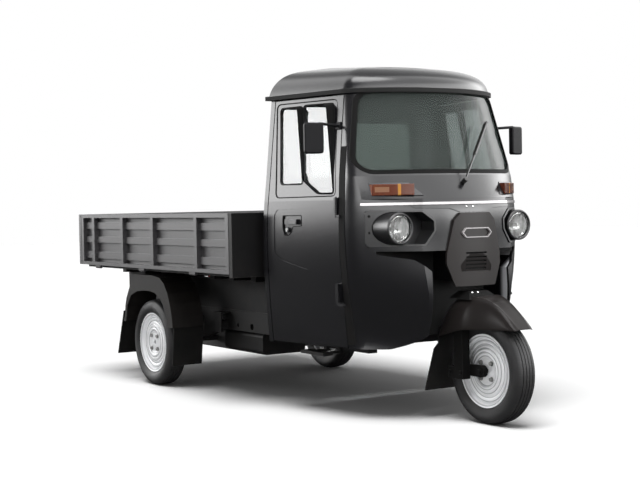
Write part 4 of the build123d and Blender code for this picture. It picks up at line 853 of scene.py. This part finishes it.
# ---------------------------------------------------------------- bright trim, wiper and mirrors
# A polished strip under the scuttle, an empty badge frame, the wiper and two door mirrors.
trim_bright = painted("trim_bright", (0.47, 0.45, 0.455), 0.22, dust=0.05, dust_top=1.2, metallic=0.3)
dress(trim_bright, "bright_trim")
wiper_black = painted("wiper_black", (0.01, 0.01, 0.01), 0.4, dust=0.05, dust_top=1.4)
dress(wiper_black, "wiper")
mirror_plastic = painted("mirror_plastic", (0.005, 0.005, 0.006), 0.5, dust=0.02, dust_top=1.4,
                         ripple_scale=700.0, ripple_depth=0.15, specular=0.12)
dress(mirror_plastic, "door_left_mirror", "door_right_mirror")

silvered, silver_tree, silver_shader = new_surface("silvered_glass")
silver_shader.inputs["Metallic"].default_value = 1.0
silver_shader.inputs["Roughness"].default_value = 0.03
silver_tint = blend(silver_tree, mottle(silver_tree, 14.0, 5.0), (0.82, 0.84, 0.85), (0.9, 0.91, 0.91))
silver_tree.links.new(silver_tint, silver_shader.inputs["Base Color"])
MIRROR_AT, MIRROR_TURN, MIRROR_BACK = (0.902, 0.628, 1.349), 18.0, 0.0126
MIRROR_HALF, MIRROR_THICK, MIRROR_CORNER, MIRROR_EDGE = (0.065, 0.040), 0.0016, 0.010, 0.0006
for word, side in SIDES:
    glass_edit = bmesh.new()
    housing = Matrix.Translation((MIRROR_AT[0], side * MIRROR_AT[1], MIRROR_AT[2]))
    housing @= Matrix.Rotation(radians(side * MIRROR_TURN), 4, "Z")
    facing_back = Matrix.Translation((-MIRROR_BACK, 0, 0)) @ Matrix.Rotation(-pi / 2, 4, "Y")
    rounded_plate(glass_edit, *MIRROR_HALF, MIRROR_THICK, MIRROR_CORNER, MIRROR_EDGE, housing @ facing_back)
    finish_mesh(f"mirror_glass_{word}", glass_edit, silvered, f"door_{word}")

# Domed fasteners: two bright rivets over the nose, two bolts on the fork crown, pod screws.
DOME_STEPS, DOME_SHARES, DOME_SUNK = 16, (0.0, 0.35, 0.7, 0.9), 0.0004


def domes(name, places, material, body, *, radius, height):
    """Small domed heads, each standing on the surface at a place that is (position, normal)."""
    dome_edit = bmesh.new()
    for position, normal in places:
        upright_turn = Vector(normal).to_track_quat("Z", "Y").to_matrix().to_4x4()
        base = Matrix.Translation(Vector(position)) @ upright_turn
        rings = []
        for share in DOME_SHARES:
            ring_r = radius * cos(share * pi / 2)
            ring_z = height * sin(share * pi / 2) - DOME_SUNK
            turns = [2 * pi * k / DOME_STEPS for k in range(DOME_STEPS)]
            rings.append([
                dome_edit.verts.new(base @ Vector((ring_r * cos(turn), ring_r * sin(turn), ring_z)))
                for turn in turns
            ])
        for low_ring, high_ring in zip(rings, rings[1:]):
            for k in range(DOME_STEPS):
                after = (k + 1) % DOME_STEPS
                dome_edit.faces.new((low_ring[k], low_ring[after], high_ring[after], high_ring[k]))
        dome_edit.faces.new(rings[-1])
    finish_mesh(name, dome_edit, material, body, 60.0)


rivets = [((1.3006, y, 1.0131), (0.97, 0, 0.24)) for y in (-0.0369, 0.0015)]
domes("nose_rivets", rivets, lock_steel, "root", radius=0.0055, height=0.004)
bolts = [((1.3445, y, 0.6103), (0.5, 0, 0.87)) for y in (-0.0477, -0.0139)]
domes("fork_crown_bolts", bolts, lock_steel, "steering", radius=0.006, height=0.005)
screws = [
    ((1.0878, side * 0.449, z), (0.73, side * 0.68, 0.0)) for side in (-1, 1) for z in (0.9754, 0.8984)
]
domes("pod_screws", screws, seal_rubber, "root", radius=0.007, height=0.003)

# ---------------------------------------------------------------- cab interior
# Seat, shelf and handlebar: black vinyl over foam, moulded shelf, painted bar.
inner_plastic = painted("inner_plastic", (0.02, 0.02, 0.021), 0.55, dust=0.1, dust_top=1.4,
                        ripple_scale=600.0, ripple_depth=0.2)
dress(inner_plastic, "dashboard")
inner_paint = painted("inner_paint", (0.02, 0.02, 0.021), 0.4, dust=0.15, dust_top=1.0)
dress(inner_paint, "seat_base")
bar_paint = painted("bar_paint", (0.012, 0.012, 0.012), 0.35, dust=0.05, dust_top=1.4)
dress(bar_paint, "handlebar")

VINYL_GRAIN, GRAIN_HEIGHT = 420.0, 0.0006
seat_vinyl, vinyl_tree, vinyl_shader = new_surface("seat_vinyl")
vinyl_cells = wire(vinyl_tree, "ShaderNodeTexVoronoi", {
    "Vector": own_place(vinyl_tree), "Scale": VINYL_GRAIN,
}, feature="DISTANCE_TO_EDGE").outputs["Distance"]
raise_surface(vinyl_tree, vinyl_cells, strength=0.4, distance=GRAIN_HEIGHT)
vinyl_wear = mottle(vinyl_tree, 7.0, 5.0)
vinyl_tint = blend(vinyl_tree, vinyl_wear, (0.018, 0.018, 0.02), (0.032, 0.031, 0.031))
vinyl_tree.links.new(vinyl_tint, vinyl_shader.inputs["Base Color"])
vinyl_tree.links.new(ramp(vinyl_tree, vinyl_wear, 0.3, 0.7, 0.38, 0.55), vinyl_shader.inputs["Roughness"])

PAD_SHRUNK, PAD_VOXEL = 0.965, 0.011
PRESSURE, CLOTH_QUALITY, CLOTH_FRAMES = 4.0, 5, 20
SEAM_REACH, SEAM_DEPTH, PAD_CLEAR = 0.02, 0.006, 0.0005


def swollen_points(pad):
    """Blows the pad up as cloth and returns where its points come to."""
    cloth = pad.modifiers.new("skin", "CLOTH")
    cloth.settings.use_pressure = True
    cloth.settings.uniform_pressure_force = PRESSURE
    cloth.settings.effector_weights.gravity = 0.0
    cloth.settings.quality = CLOTH_QUALITY
    scene = bpy.context.scene
    for step in range(1, CLOTH_FRAMES + 1):
        scene.frame_set(step)
    swollen = pad.evaluated_get(bpy.context.evaluated_depsgraph_get()).data
    points = [v.co.copy() for v in swollen.vertices]
    pad.modifiers.clear()
    scene.frame_set(1)
    return points


def stuffed(name, node, *, channels, swell):
    """A vinyl pad in the place of its CAD block: crowned faces, waisted sides, sewn channels."""
    low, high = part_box(node)
    centre, size = (low + high) / 2, high - low
    pad = bpy.data.objects.new(name, nodes[node].data.copy())
    bpy.context.scene.collection.objects.link(pad)
    for vertex in pad.data.vertices:
        vertex.co = centre + (vertex.co - centre) * PAD_SHRUNK
    remesh = pad.modifiers.new("even_mesh", "REMESH")
    remesh.mode, remesh.voxel_size = "VOXEL", PAD_VOXEL
    bpy.context.view_layer.update()
    evaluated = pad.evaluated_get(bpy.context.evaluated_depsgraph_get())
    even = bpy.data.meshes.new_from_object(evaluated)
    pad.modifiers.clear()
    pad.data = even
    for vertex, end in zip(even.vertices, swollen_points(pad)):
        shift = end - vertex.co
        if shift.length > swell:
            shift *= swell / shift.length
        vertex.co += shift
    for vertex in even.vertices:
        share = (vertex.co.y - low.y) / size.y * (channels + 1)
        from_seam = abs(share - round(share)) * size.y / (channels + 1)
        inside = 0.5 < share < channels + 0.5
        if inside and from_seam < SEAM_REACH:
            depth = SEAM_DEPTH * (1 - from_seam / SEAM_REACH) ** 2
            vertex.co -= (vertex.co - centre).normalized() * depth
        vertex.co = Vector([
            min(max(c, a + PAD_CLEAR), b - PAD_CLEAR) for c, a, b in zip(vertex.co, low, high)
        ])
    smooth_skin = pad.modifiers.new("smooth_skin", "SUBSURF")
    smooth_skin.levels = smooth_skin.render_levels = 1
    even.materials.clear()
    even.materials.append(seat_vinyl)
    even.shade_smooth()
    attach(pad, "root")
    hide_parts(node)


stuffed("driver_seat_pad", "seat_cushion", channels=3, swell=0.014)
stuffed("driver_back_pad", "seat_backrest", channels=3, swell=0.012)

# ---------------------------------------------------------------- cargo tray
# A pressed steel tray: bed, headboard and three hinged sides with ribs and posts, the sides in charcoal and
# the bed and headboard painted near black as shade.
tray_paint = painted("tray_paint", (0.034, 0.033, 0.036), 0.42, dust=0.15, dust_top=1.2,
                     ripple_depth=0.1, bare=(0.05, 0.05, 0.05))
dress(tray_paint, "tray_side_left", "tray_side_right", "tailgate")
# Painted shade: the bed and headboard, whose face by the cab and underside lie in shade, are near black.
shaded_bed_paint = painted("shaded_bed_paint", SATIN_BLACK, 0.5, dust=0.1, dust_top=1.0,
                    ripple_depth=0.2, specular=0.12, bare=(0.1, 0.095, 0.09))
dress(shaded_bed_paint, "tray_bed", "headboard")

# ---------------------------------------------------------------- rear plate
# A bare black plate on its bracket under the tailgate.
plate_black = painted("plate_black", (0.02, 0.02, 0.02), 0.4, dust=0.2, dust_top=0.9)
dress(plate_black, "plate_holder")
